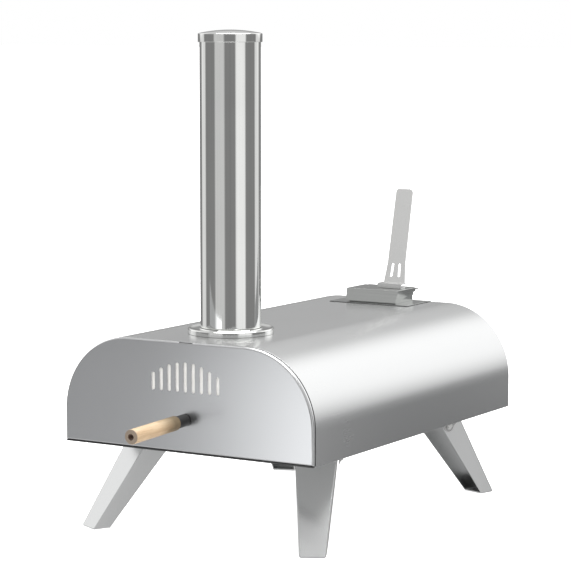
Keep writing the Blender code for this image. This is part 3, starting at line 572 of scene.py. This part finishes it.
# A finer copy of a folded CAD sheet: its bends get a radius and its cut edges are broken
def refined(name, nodeName, edge=0.00025, bend=0.0, sheet=0.001):
    shape = bmesh.new()
    shape.from_mesh(nodes[nodeName].data)
    bmesh.ops.remove_doubles(shape, verts=shape.verts, dist=1e-6)
    bmesh.ops.dissolve_limit(shape, angle_limit=math.radians(0.6), verts=shape.verts, edges=shape.edges,
                             use_dissolve_boundaries=False)
    layer = shape.edges.layers.float.get("bevel_weight_edge") or shape.edges.layers.float.new("bevel_weight_edge")
    widest = max(edge, bend)
    for line in shape.edges:
        if len(line.link_faces) != 2 or line.calc_face_angle(0.0) < math.radians(32):
            continue
        widths = [2 * face.calc_area() / max(face.calc_perimeter(), 1e-9) for face in line.link_faces]
        folded = bend > 0 and min(widths) > 1.6 * sheet and line.is_convex
        line[layer] = 1.0 if folded else edge / widest
    mesh = bpy.data.meshes.new(name)
    shape.to_mesh(mesh)
    shape.free()
    item = bpy.data.objects.new(name, mesh)
    scene.collection.objects.link(item)
    return softEdges(item, widest, weighted=True)


socketTypes = {"int": "NodeSocketInt", "float": "NodeSocketFloat", "vector": "NodeSocketVector",
               "material": "NodeSocketMaterial"}


def newTree(name, inputs):
    tree = bpy.data.node_groups.new(name, "GeometryNodeTree")
    tree.interface.new_socket("Geometry", in_out="INPUT", socket_type="NodeSocketGeometry")
    for label, kind in inputs:
        tree.interface.new_socket(label, in_out="INPUT", socket_type=socketTypes[kind])
    tree.interface.new_socket("Material", in_out="INPUT", socket_type="NodeSocketMaterial")
    tree.interface.new_socket("Geometry", in_out="OUTPUT", socket_type="NodeSocketGeometry")
    return tree, newNode(tree, "NodeGroupInput").outputs


def endTree(tree, inputs, geometry):
    realize = newNode(tree, "GeometryNodeRealizeInstances")
    paint = newNode(tree, "GeometryNodeSetMaterial")
    out = newNode(tree, "NodeGroupOutput")
    tree.links.new(geometry, realize.inputs[0])
    tree.links.new(realize.outputs[0], paint.inputs["Geometry"])
    tree.links.new(inputs["Material"], paint.inputs["Material"])
    tree.links.new(paint.outputs[0], out.inputs[0])
    return tree


def grow(item, tree, material, **values):
    step = item.modifiers.new(tree.name, "NODES")
    step.node_group = tree
    values["Material"] = material
    for socket in tree.interface.items_tree:
        label = socket.name.replace(" ", "")
        if socket.in_out == "INPUT" and label in values:
            step[socket.identifier] = values[label]
    return settle(item)


def emptyPiece(name):
    item = bpy.data.objects.new(name, bpy.data.meshes.new(name))
    scene.collection.objects.link(item)
    return item


def combine(tree, x=0.0, y=0.0, z=0.0):
    node = newNode(tree, "ShaderNodeCombineXYZ")
    for index, value in enumerate((x, y, z)):
        plug(tree, node.inputs[index], value)
    return node.outputs[0]


# The arched body: a bent line of four points, its two upper corners filleted, drawn out along Y into a sheet
def makeArchTree():
    tree, inputs = newTree("archSheet", [("Half Width", "float"), ("Bottom", "float"), ("Top", "float"),
                                         ("Corner", "float"), ("Near", "float"), ("Far", "float"), ("Steps",
                                                                                                    "int")])
    line = newNode(tree, "GeometryNodeMeshLine")
    line.inputs["Count"].default_value = 4
    index = newNode(tree, "GeometryNodeInputIndex").outputs[0]
    right = maths(tree, "GREATER_THAN", index, 1.5)
    upper = maths(tree, "LESS_THAN", maths(tree, "ABSOLUTE", maths(tree, "SUBTRACT", index, 1.5)), 1.0)
    x = maths(tree, "MULTIPLY", inputs["Half Width"], maths(tree, "SUBTRACT", maths(tree, "MULTIPLY", right,
                                                                                    2.0), 1.0))
    z = maths(tree, "ADD", inputs["Bottom"],
              maths(tree, "MULTIPLY", upper, maths(tree, "SUBTRACT", inputs["Top"], inputs["Bottom"])))
    place = newNode(tree, "GeometryNodeSetPosition")
    tree.links.new(line.outputs[0], place.inputs["Geometry"])
    tree.links.new(combine(tree, x, inputs["Near"], z), place.inputs["Position"])
    curve = newNode(tree, "GeometryNodeMeshToCurve")
    tree.links.new(place.outputs[0], curve.inputs[0])
    fillet = newNode(tree, "GeometryNodeFilletCurve", mode="POLY")
    tree.links.new(curve.outputs[0], fillet.inputs["Curve"])
    tree.links.new(inputs["Steps"], fillet.inputs["Count"])
    tree.links.new(inputs["Corner"], fillet.inputs["Radius"])
    wire = newNode(tree, "GeometryNodeCurveToMesh")
    tree.links.new(fillet.outputs[0], wire.inputs["Curve"])
    draw = newNode(tree, "GeometryNodeExtrudeMesh", mode="EDGES")
    tree.links.new(wire.outputs[0], draw.inputs["Mesh"])
    tree.links.new(combine(tree, 0.0, maths(tree, "SUBTRACT", inputs["Far"], inputs["Near"]), 0.0),
                   draw.inputs["Offset"])
    draw.inputs["Offset Scale"].default_value = 1.0
    return endTree(tree, inputs, draw.outputs["Mesh"])


# A row of upright slots with round ends; Rise lifts their tops into an arch over the middle of the row
def makeSlotTree():
    tree, inputs = newTree("slotRow", [("Count", "int"), ("Pitch", "float"), ("Width", "float"), ("Height",
                                                                                                  "float"),
                                       ("Bottom", "float"), ("Rise", "float"), ("Front", "float"), ("Depth",
                                                                                                    "float")])
    outline = newNode(tree, "GeometryNodeCurvePrimitiveQuadrilateral")
    tree.links.new(inputs["Width"], outline.inputs["Width"])
    tree.links.new(inputs["Height"], outline.inputs["Height"])
    fillet = newNode(tree, "GeometryNodeFilletCurve", mode="POLY")
    fillet.inputs["Count"].default_value = 8
    tree.links.new(outline.outputs[0], fillet.inputs["Curve"])
    tree.links.new(maths(tree, "MULTIPLY", inputs["Width"], 0.49), fillet.inputs["Radius"])
    face = newNode(tree, "GeometryNodeFillCurve", mode="NGONS")
    tree.links.new(fillet.outputs[0], face.inputs["Curve"])
    draw = newNode(tree, "GeometryNodeExtrudeMesh", mode="FACES")
    draw.inputs["Individual"].default_value = False
    tree.links.new(face.outputs[0], draw.inputs["Mesh"])
    tree.links.new(combine(tree, 0.0, 0.0, inputs["Depth"]), draw.inputs["Offset"])
    draw.inputs["Offset Scale"].default_value = 1.0
    back = newNode(tree, "GeometryNodeFlipFaces")
    tree.links.new(face.outputs[0], back.inputs[0])
    whole = newNode(tree, "GeometryNodeJoinGeometry")
    tree.links.new(back.outputs[0], whole.inputs[0])
    tree.links.new(draw.outputs["Mesh"], whole.inputs[0])
    merged = newNode(tree, "GeometryNodeMergeByDistance")
    merged.inputs["Distance"].default_value = 1e-6
    tree.links.new(whole.outputs[0], merged.inputs[0])
    upright = newNode(tree, "GeometryNodeTransform")
    upright.inputs["Rotation"].default_value = (math.pi / 2, 0.0, 0.0)
    tree.links.new(merged.outputs[0], upright.inputs["Geometry"])
    line = newNode(tree, "GeometryNodeMeshLine")
    reach = maths(tree, "MULTIPLY", maths(tree, "SUBTRACT", inputs["Count"], 1.0), 0.5)
    middle = maths(tree, "ADD", inputs["Bottom"], maths(tree, "MULTIPLY", inputs["Height"], 0.5))
    first = maths(tree, "MULTIPLY", maths(tree, "MULTIPLY", reach, inputs["Pitch"]), -1.0)
    tree.links.new(inputs["Count"], line.inputs["Count"])
    tree.links.new(combine(tree, first, inputs["Front"], middle), line.inputs["Start Location"])
    tree.links.new(combine(tree, inputs["Pitch"], 0.0, 0.0), line.inputs["Offset"])
    copies = newNode(tree, "GeometryNodeInstanceOnPoints")
    tree.links.new(line.outputs[0], copies.inputs["Points"])
    tree.links.new(upright.outputs[0], copies.inputs["Instance"])
    real = newNode(tree, "GeometryNodeRealizeInstances")
    tree.links.new(copies.outputs[0], real.inputs[0])
    split = newNode(tree, "ShaderNodeSeparateXYZ")
    tree.links.new(newNode(tree, "GeometryNodeInputPosition").outputs[0], split.inputs[0])
    column = maths(tree, "ROUND", maths(tree, "ADD", maths(tree, "DIVIDE", split.outputs["X"],
                                                           inputs["Pitch"]), reach))
    swing = maths(tree, "DIVIDE", maths(tree, "SUBTRACT", column, reach), inputs["Count"])
    rise = maths(tree, "MULTIPLY", inputs["Rise"], maths(tree, "COSINE", maths(tree, "MULTIPLY", swing,
                                                                               math.pi)))
    lift = newNode(tree, "GeometryNodeSetPosition")
    tree.links.new(real.outputs[0], lift.inputs["Geometry"])
    tree.links.new(maths(tree, "GREATER_THAN", split.outputs["Z"], middle), lift.inputs["Selection"])
    tree.links.new(combine(tree, 0.0, 0.0, rise), lift.inputs["Offset"])
    return endTree(tree, inputs, lift.outputs[0])


# A grid of round holes, as upright pegs to cut with
def makePegTree():
    tree, inputs = newTree("pegGrid", [("Columns", "int"), ("Rows", "int"), ("Pitch X", "float"), ("Pitch Y",
                                                                                                   "float"),
                                       ("Radius", "float"), ("Depth", "float"), ("Centre", "vector")])
    grid = newNode(tree, "GeometryNodeMeshGrid")
    tree.links.new(maths(tree, "MULTIPLY", maths(tree, "SUBTRACT", inputs["Columns"], 1.0),
                         inputs["Pitch X"]),
                   grid.inputs["Size X"])
    tree.links.new(maths(tree, "MULTIPLY", maths(tree, "SUBTRACT", inputs["Rows"], 1.0), inputs["Pitch Y"]),
                   grid.inputs["Size Y"])
    tree.links.new(inputs["Columns"], grid.inputs["Vertices X"])
    tree.links.new(inputs["Rows"], grid.inputs["Vertices Y"])
    peg = newNode(tree, "GeometryNodeMeshCylinder")
    peg.inputs["Vertices"].default_value = 20
    tree.links.new(inputs["Radius"], peg.inputs["Radius"])
    tree.links.new(inputs["Depth"], peg.inputs["Depth"])
    move = newNode(tree, "GeometryNodeTransform")
    tree.links.new(grid.outputs[0], move.inputs["Geometry"])
    tree.links.new(inputs["Centre"], move.inputs["Translation"])
    copies = newNode(tree, "GeometryNodeInstanceOnPoints")
    tree.links.new(move.outputs[0], copies.inputs["Points"])
    tree.links.new(peg.outputs[0], copies.inputs["Instance"])
    return endTree(tree, inputs, copies.outputs[0])


# Screws and bolts: at each point a shank, a washer and a head, turned to face the point's own direction
def makeFastenerTree():
    tree, inputs = newTree("fasteners", [("Facets", "int"), ("Head Radius", "float"), ("Head Height",
                                                                                       "float"),
                                         ("Washer Radius", "float"), ("Washer Height", "float"),
                                         ("Shank Radius", "float"), ("Shank Length", "float")])
    parts = newNode(tree, "GeometryNodeJoinGeometry")

    def stack(kind, height, base, sides, **links):
        solid = newNode(tree, kind)
        if isinstance(sides, int):
            solid.inputs["Vertices"].default_value = sides
        else:
            tree.links.new(sides, solid.inputs["Vertices"])
        for label, value in links.items():
            tree.links.new(value, solid.inputs[label.replace("_", " ")])
        tree.links.new(height, solid.inputs["Depth"])
        move = newNode(tree, "GeometryNodeTransform")
        tree.links.new(solid.outputs[0], move.inputs["Geometry"])
        tree.links.new(combine(tree, 0.0, 0.0, base), move.inputs["Translation"])
        tree.links.new(move.outputs[0], parts.inputs[0])

    half = maths(tree, "MULTIPLY", inputs["Washer Height"], 0.5)
    shankHalf = maths(tree, "MULTIPLY", inputs["Shank Length"], -0.5)
    stack("GeometryNodeMeshCylinder", inputs["Washer Height"], half, 32, Radius=inputs["Washer Radius"])
    stack("GeometryNodeMeshCylinder", inputs["Shank Length"], shankHalf, 24, Radius=inputs["Shank Radius"])
    rimHeight = maths(tree, "MULTIPLY", inputs["Head Height"], 0.62)
    crownHeight = maths(tree, "SUBTRACT", inputs["Head Height"], rimHeight)
    crownRadius = maths(tree, "MULTIPLY", inputs["Head Radius"], 0.74)
    # a cone stands on its base, so it only needs lifting onto the washer
    stack("GeometryNodeMeshCone", rimHeight, inputs["Washer Height"], inputs["Facets"],
          Radius_Bottom=inputs["Head Radius"], Radius_Top=inputs["Head Radius"])
    stack("GeometryNodeMeshCone", crownHeight, maths(tree, "ADD", inputs["Washer Height"], rimHeight),
          inputs["Facets"], Radius_Bottom=inputs["Head Radius"], Radius_Top=crownRadius)
    facing = newNode(tree, "GeometryNodeInputNamedAttribute", data_type="FLOAT_VECTOR")
    facing.inputs["Name"].default_value = "facing"
    aim = newNode(tree, "FunctionNodeAlignRotationToVector", axis="Z")
    tree.links.new(facing.outputs["Attribute"], aim.inputs["Vector"])
    copies = newNode(tree, "GeometryNodeInstanceOnPoints")
    tree.links.new(inputs["Geometry"], copies.inputs["Points"])
    tree.links.new(parts.outputs[0], copies.inputs["Instance"])
    tree.links.new(aim.outputs[0], copies.inputs["Rotation"])
    return endTree(tree, inputs, copies.outputs[0])


archTree, slotTree, pegTree, fastenerTree = makeArchTree(), makeSlotTree(), makePegTree(), makeFastenerTree()
steelFinish = finishes["fastener_steel"]


def fasteners(name, places, **sizes):
    mesh = bpy.data.meshes.new(name)
    mesh.from_pydata([tuple(place) for place, _ in places], [], [])
    facing = mesh.attributes.new("facing", "FLOAT_VECTOR", "POINT")
    for index, (_, direction) in enumerate(places):
        facing.data[index].vector = direction
    item = bpy.data.objects.new(name, mesh)
    scene.collection.objects.link(item)
    grow(item, fastenerTree, steelFinish, **sizes)
    return softEdges(item, 0.0002, 2)


print("node trees made")


chimney = {"fromDoor": 0.115, "radius": 0.0421, "bottom": 0.2876, "top": 0.6903, "wall": 0.001,
           "capRadius": 0.0442, "capTop": 0.6968, "capDome": 0.0048, "capRim": 0.012, "collarRadius": 0.0597,
           "collarHeight": 0.0079, "throatRadius": 0.0393}
hopper = {"front": 0.518, "back": 0.5738, "half": 0.04}
chimneyAxis = Vector((0.0, body["face"] + chimney["fromDoor"], 0.0))


def openingTools(low, high):
    radius = chimney["throatRadius"] + body["gap"]
    flue = lathe("flueTool", [(0.0, low), (radius, low), (radius, high), (0.0, high)], chimneyAxis, steps=96)
    margin = body["gap"]
    near, far = body["face"] + hopper["front"] - margin, body["face"] + hopper["back"] + margin
    half = hopper["half"] + margin
    return flue, box("chuteTool", (-half, near, low), (half, far, high))


def makeShell():
    shell = grow(emptyPiece("ovenShell"), archTree, finishes["shell_steel"], HalfWidth=body["half"],
                 Bottom=body["under"], Top=body["top"], Corner=body["corner"], Near=body["front"] + 0.0003,
                 Far=body["rear"], Steps=body["arcSteps"])
    shape = bmesh.new()
    shape.from_mesh(shell.data)
    top = max(shape.faces, key=lambda face: face.calc_center_median().z)
    if top.normal.z < 0:
        bmesh.ops.reverse_faces(shape, faces=shape.faces)
    shape.to_mesh(shell.data)
    shape.free()
    wall = shell.modifiers.new("wall", "SOLIDIFY")
    wall.thickness = body["sheet"]
    wall.offset = -1.0
    settle(shell)
    for tool in openingTools(body["top"] - 0.01, body["top"] + 0.01):
        carve(shell, tool)
    hand(softEdges(shell, 0.00028), "shell_steel", "root", "outer_shell")
    # the tongue that laps over the door's top edge
    tab = {"half": 0.0105, "near": body["face"] + 0.0008, "far": body["front"] + 0.004}
    tongue = box("shellTongue", (-tab["half"], tab["near"], body["top"] - body["sheet"]),
                 (tab["half"], tab["far"], body["top"] - 0.00002))
    hand(softEdges(tongue, 0.00028), "shell_steel", "root")


def makeLinings():
    under = body["under"] + body["sheet"] + body["gap"]
    near = body["front"] + 0.002
    sheet = body["sheet"]
    mouth, outer = (0.027, 0.153), (2 * sheet + body["gap"], under)
    frontFrame = archLoft("frontFrame", [(*outer, near), (*outer, near + sheet), (*mouth, near + sheet),
                                         (*mouth, near)], closed=True)
    hand(softEdges(frontFrame, 0.0002), "plate_steel", "root", "front_frame")
    # black rope seal that the door closes on, seen as a dark line round the body
    rope = {"near": body["rim"] + 0.0001, "far": body["front"] + 0.0016, "outer": 0.0012, "inner": 0.0042}
    ring = [(inset, body["under"] + inset, y) for inset, y in
            ((rope["outer"], rope["near"]), (rope["outer"], rope["far"]), (rope["inner"], rope["far"]),
             (rope["inner"], rope["near"]))]
    hand(softEdges(archLoft("doorSeal", ring, closed=True), 0.0005), "spacer_steel", "root")
    near, far = body["front"] + 0.0036, body["rear"] - 0.0036
    wall = 0.0008
    inset, floor = body["chamberInset"], body["chamberFloor"]
    liner = archLoft("chamberLiner", [(inset, floor - wall, near), (inset, floor - wall, far),
                                      (inset + wall, floor, far), (inset + wall, floor, near)], closed=True)
    roof = body["top"] - inset
    for tool in openingTools(roof - 0.01, roof + 0.01):
        carve(liner, tool)
    hand(softEdges(liner, 0.0002), "fire_steel", "root", "inner_liner")


def makeRear():
    sheet = body["sheet"]
    inset, bottom = 2 * sheet + body["gap"], body["under"] + sheet + body["gap"]
    far = body["rear"] - 0.002
    panel = archLoft("rearPanel", [(inset, bottom, far - sheet), (inset, bottom, far)])
    tray = {"half": 0.0575, "low": body["chamberFloor"], "high": body["chamberFloor"] + 0.051}
    carve(panel, box("trayTool", (-tray["half"], far - 0.01, tray["low"]), (tray["half"], far + 0.01,
                                                                            tray["high"])))
    hand(softEdges(panel, 0.00025), "plate_steel", "root", "rear_panel")
    screws = {"inset": 0.0125, "angles": (0, 38, 90, 142, 180), "low": 0.142}
    radius = body["corner"] - screws["inset"]
    half, middle = body["half"] - screws["inset"], body["top"] - body["corner"]
    places = []
    for angle in screws["angles"]:
        turn = math.radians(angle)
        side = (math.cos(turn) > 1e-6) - (math.cos(turn) < -1e-6)
        places.append(((side * (half - radius) + radius * math.cos(turn), far,
                        middle + radius * math.sin(turn)),
                       (0.0, 1.0, 0.0)))
    places += [((side * half, far, screws["low"]), (0.0, 1.0, 0.0)) for side in (-1, 1)]
    heads = fasteners("rearScrews", places, Facets=32, HeadRadius=0.0031, HeadHeight=0.0013,
                      WasherRadius=0.0036,
                      WasherHeight=0.0003, ShankRadius=0.0014, ShankLength=0.0018)
    hand(heads, "fastener_steel", "root")


makeShell()
makeLinings()
makeRear()
print("body made")


def makeChimney():
    low, high, wall, radius = chimney["bottom"], chimney["top"], chimney["wall"], chimney["radius"]
    edge = 0.0004
    pipe = [(radius - wall, low + edge), (radius - wall + edge, low), (radius - edge, low), (radius,
                                                                                             low + edge),
            (radius, high - edge), (radius - edge, high), (radius - wall + edge, high), (radius - wall,
                                                                                         high - edge)]
    hand(lathe("chimneyTube", pipe, chimneyAxis), "polished_steel", "chimney", "chimney_tube")

    outer, wall, dome = chimney["capRadius"], 0.0013, chimney["capDome"]
    shoulder = chimney["capTop"] - dome
    rim = shoulder - chimney["capRim"]
    radii = [outer * step / 24 for step in range(23)]
    cap = [(radius, shoulder - wall + dome * (1 - (radius / outer) ** 2)) for radius in radii]
    cap += [(outer - wall, shoulder - wall - 0.0002), (outer - wall, rim + wall / 2)]
    cap += arc((outer - wall / 2, rim + wall / 2), wall / 2, 180, 360, 8) + arc((outer - 0.0012,
                                                                                 shoulder - 0.0012),
                                                                                0.0012, 0, 78, 6)
    cap += [(radius, shoulder + dome * (1 - (radius / outer) ** 2)) for radius in reversed(radii)]
    hand(lathe("chimneyCap", cap, chimneyAxis), "polished_steel", "cap", "chimney_cap")

    low, high = body["top"] + 0.0003, body["top"] + chimney["collarHeight"]
    inner, outer = chimney["throatRadius"] + body["gap"], chimney["collarRadius"]
    plate = high - 0.0012
    seat = chimney["radius"] + 0.0014  # the tube stands close over this raised seat
    collar = [(inner, plate - 0.001), (inner, high - 0.0001), (seat, high - 0.0001), (seat + 0.0012, plate),
              (outer - 0.0062, plate - 0.0004)]
    collar += arc((outer - 0.0022, high - 0.0022), 0.0022, 125, 0, 10)
    collar += [(outer, low), (outer - 0.0011, low), (outer - 0.0011, high - 0.0028)]
    collar += arc((outer - 0.0026, high - 0.0034), 0.0014, 0, 90, 4) + [(outer - 0.0064, plate - 0.0014)]
    hand(lathe("chimneyCollar", collar, chimneyAxis), "polished_steel", "root", "chimney_collar")


makeChimney()
print("chimney made")


flangeLow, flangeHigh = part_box("hopper_flange")
seal = box("flangeSeal", (flangeLow.x - 0.0007, flangeLow.y - 0.0007, body["top"] + 0.00002),
           (flangeHigh.x + 0.0007, flangeHigh.y + 0.0007, flangeLow.z + 0.0005))
flueTool, chuteTool = openingTools(body["top"] - 0.01, body["top"] + 0.01)
bpy.data.objects.remove(flueTool, do_unlink=True)
hand(softEdges(carve(seal, chuteTool), 0.0001, 1), "spacer_steel", "root")
hand(refined("hopperFlange", "hopper_flange", 0.0003), "hopper_steel", "root", "hopper_flange")
hand(refined("hopperNeck", "hopper_neck", 0.0002), "hopper_steel", "root", "hopper_neck")
hand(refined("hopperLid", "hopper_lid", 0.0002, bend=0.0008), "hopper_steel", "lid", "hopper_lid")
hand(refined("lidStrip", "lid_handle", 0.0003), "strip_steel", "lid", "lid_handle")
print("hopper made")


def makeBurner():
    hand(refined("burnerTray", "burner_tray", 0.00022), "fire_steel", "burner", "burner_tray")
    low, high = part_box("fuel_grate")
    grate = {"wall": 0.001, "skin": 0.0015}
    plate = box("fuelGrate", low, high)
    inside = ((low.x + grate["wall"], low.y - 0.01, low.z - 0.01), (high.x - grate["wall"], high.y + 0.01,
                                                                   high.z - grate["skin"]))
    carve(plate, box("grateTool", *inside))
    pegs = grow(emptyPiece("pegs"), pegTree, finishes["fire_steel"], Columns=7, Rows=6, PitchX=0.013,
                PitchY=0.014,
                Radius=0.003, Depth=0.02, Centre=(0.0, low.y + 0.05, high.z))
    carve(plate, pegs)
    hand(softEdges(plate, 0.0002, 2), "fire_steel", "burner", "fuel_grate")
    low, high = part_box("tray_front")
    face = box("trayFront", low, high)
    slots = grow(emptyPiece("slots"), slotTree, finishes["plate_steel"], Count=7, Pitch=0.012, Width=0.005,
                 Height=0.014, Bottom=low.z + 0.013, Rise=0.0, Front=high.y + 0.01, Depth=0.02)
    carve(face, slots)
    hand(softEdges(face, 0.00025), "plate_steel", "burner", "tray_front")
    hand(refined("trayPull", "tray_pull", 0.0003), "plate_steel", "burner", "tray_pull")


makeBurner()
hand(refined("pizzaStone", "pizza_stone", 0.0016, bend=0.0016), "cordierite", "stone", "pizza_stone")
print("burner and stone made")


door = {"round": 0.003, "seal": 0.0021, "tabHalf": 0.0111,
        "vents": {"Count": 9, "Pitch": 0.013, "Width": 0.005, "Height": 0.021, "Bottom": 0.211,
                  "Rise": 0.020}}


def makeDoor():
    face, rim, sheet, under = body["face"], body["rim"], body["sheet"], body["under"] + door["seal"]
    radius = door["round"]
    inner = radius - sheet
    stations = [(sheet + inset, under + sheet + inset, face + sheet + depth)
                for inset, depth in ((inner - inner * math.cos(turn), inner - inner * math.sin(turn))
                                     for turn in (math.radians(90 - 18 * step) for step in range(6)))]
    stations += [(sheet, under + sheet, rim - 0.0004), (0.0, under, rim - 0.0004)]
    for step in range(9):
        turn = math.radians(90 * step / 8)
        inset = radius - radius * math.cos(turn)
        stations.append((inset, under + inset, face + radius - radius * math.sin(turn)))
    pan = archLoft("doorPan", stations)
    vents = grow(emptyPiece("vents"), slotTree, finishes["door_steel"], **door["vents"], Front=face + 0.004,
                 Depth=0.014)
    carve(pan, vents)
    half = door["tabHalf"]
    carve(pan, box("notchTool", (-half, face - 0.01, body["top"] - sheet - 0.0006), (half, rim + 0.01,
                                                                                     body["top"] + 0.01)))
    hand(softEdges(pan, 0.00022, 2, 40.0), "door_steel", "door", "door_outer")
    half = body["half"] - 0.0005
    # a near-black strip along the door's foot: painted shade standing in for the shadow gap under the door
    seal = box("doorFootShadeStrip", (-half, face + 0.0007, body["under"]), (half, rim - 0.0004, under - 0.0001))
    hand(softEdges(seal, 0.0004), "spacer_steel", "door")
    # a pale board close behind the slots
    backing = box("ventBacking", (-0.066, face + sheet + 0.0003, 0.203), (0.066, face + sheet + 0.0008,
                                                                          0.258))
    hand(softEdges(backing, 0.0001, 1), "ceramic_fibre", "door")
    plugNear, plugFar = rim - 0.0007, rim + 0.022
    wall, inset, bottom = 0.0008, 0.031, 0.157
    plug = archLoft("doorPlug", [(inset + wall, bottom + wall, plugFar - wall), (inset + wall, bottom + wall,
                                                                                 plugNear),
                                 (inset, bottom, plugNear), (inset, bottom, plugFar)])
    hand(softEdges(plug, 0.00022, 2), "fire_steel", "door", "door_plug")


def makeHandle():
    start = handleRoot + handleDirection * handle["start"]
    length, radius, bore, narrow = handle["length"], handle["radius"], handle["bore"], handle["screwBore"]
    ease = 0.0012
    grip = [(narrow, 0.0)] + arc((radius - ease, ease), ease, -90, 0, 5)
    grip += [(radius - 0.00012, length * share) for share in (0.2, 0.5, 0.8)]
    grip += arc((radius - ease, length - ease), ease, 0, 90, 5)
    grip += [(bore + 0.0004, length), (bore, length - 0.0004), (bore, handle["seat"]), (narrow,
                                                                                        handle["seat"])]
    wood = hand(lathe("doorGrip", grip, start, handleDirection, 72), "handle_wood", "door", "door_handle")
    wood.visible_glossy = False  # keeps its warm image out of the brushed door
    # the spacer's near-black finish is partly its own dark steel and partly painted shade round the grip's root
    spacerStart, end = 0.0008, handle["start"] - 0.0004
    ease = 0.0004
    wide = handle["spacerRadius"]
    collar = [(narrow, spacerStart)] + arc((wide - ease, spacerStart + ease), ease, -90, 0, 3)
    collar += arc((wide - ease, end - ease), ease, 0, 90, 3) + [(narrow, end)]
    hand(lathe("gripSpacer", collar, handleRoot, handleDirection, 48), "spacer_steel", "door",
         "handle_spacer")


makeDoor()
makeHandle()
print("door made")


legs = {"footHalf": 0.0181, "topHalf": 0.0295, "pivotZ": 0.116, "round": 0.0092,
        "turn": {"front": math.radians(27.2), "rear": math.radians(17.7)},
        "pivotX": {"front": 0.1330, "rear": 0.1417}, "fromEnd": {"front": 0.1249, "rear": 0.1322}}


def makeLegs():
    middle, length = (body["face"] + body["rear"]) / 2, body["rear"] - body["face"]
    earFace = legs["footHalf"] + (legs["topHalf"] - legs["footHalf"]) * (legs["round"] + legs["pivotZ"]) / body["under"]
    earFace += 0.0028
    places, replaced = [], []
    for endName, end in (("front", -1), ("rear", 1)):
        for sideName, side in (("left", -1), ("right", 1)):
            corner = endName + "_" + sideName
            label = endName.title() + sideName.title()
            leg = refined("leg" + label, "leg_" + corner, 0.0004, bend=0.0024, sheet=0.002)
            hand(leg, "leg_steel", corner + "_leg", "leg_" + corner)
            bracket = refined("bracket" + label, "leg_bracket_" + corner, 0.0003)
            hand(bracket, "bracket_steel", "root", "leg_bracket_" + corner)
            turn = legs["turn"][endName]
            across = Vector((side * math.cos(turn), -end * math.sin(turn), 0.0))
            pivot = Vector((side * legs["pivotX"][endName],
                            middle + end * (length / 2 - legs["fromEnd"][endName]),
                            legs["pivotZ"]))
            places.append((pivot + across * earFace, across))
            replaced.append("leg_bolt_" + corner)
    bolts = fasteners("legBolts", places, Facets=6, HeadRadius=0.0050, HeadHeight=0.0028, WasherRadius=0.0062,
                      WasherHeight=0.0008, ShankRadius=0.0030, ShankLength=2 * earFace + 0.005)
    hand(bolts, "fastener_steel", "root", *replaced)


makeLegs()
print("legs made")

# What is left of the frame keeps its shape and takes its slot's finish
for name, node in nodes.items():
    if not node.hide_render:
        node.data.materials.clear()
        node.data.materials.append(finishes[slotOf[name]])

print("all pieces made")
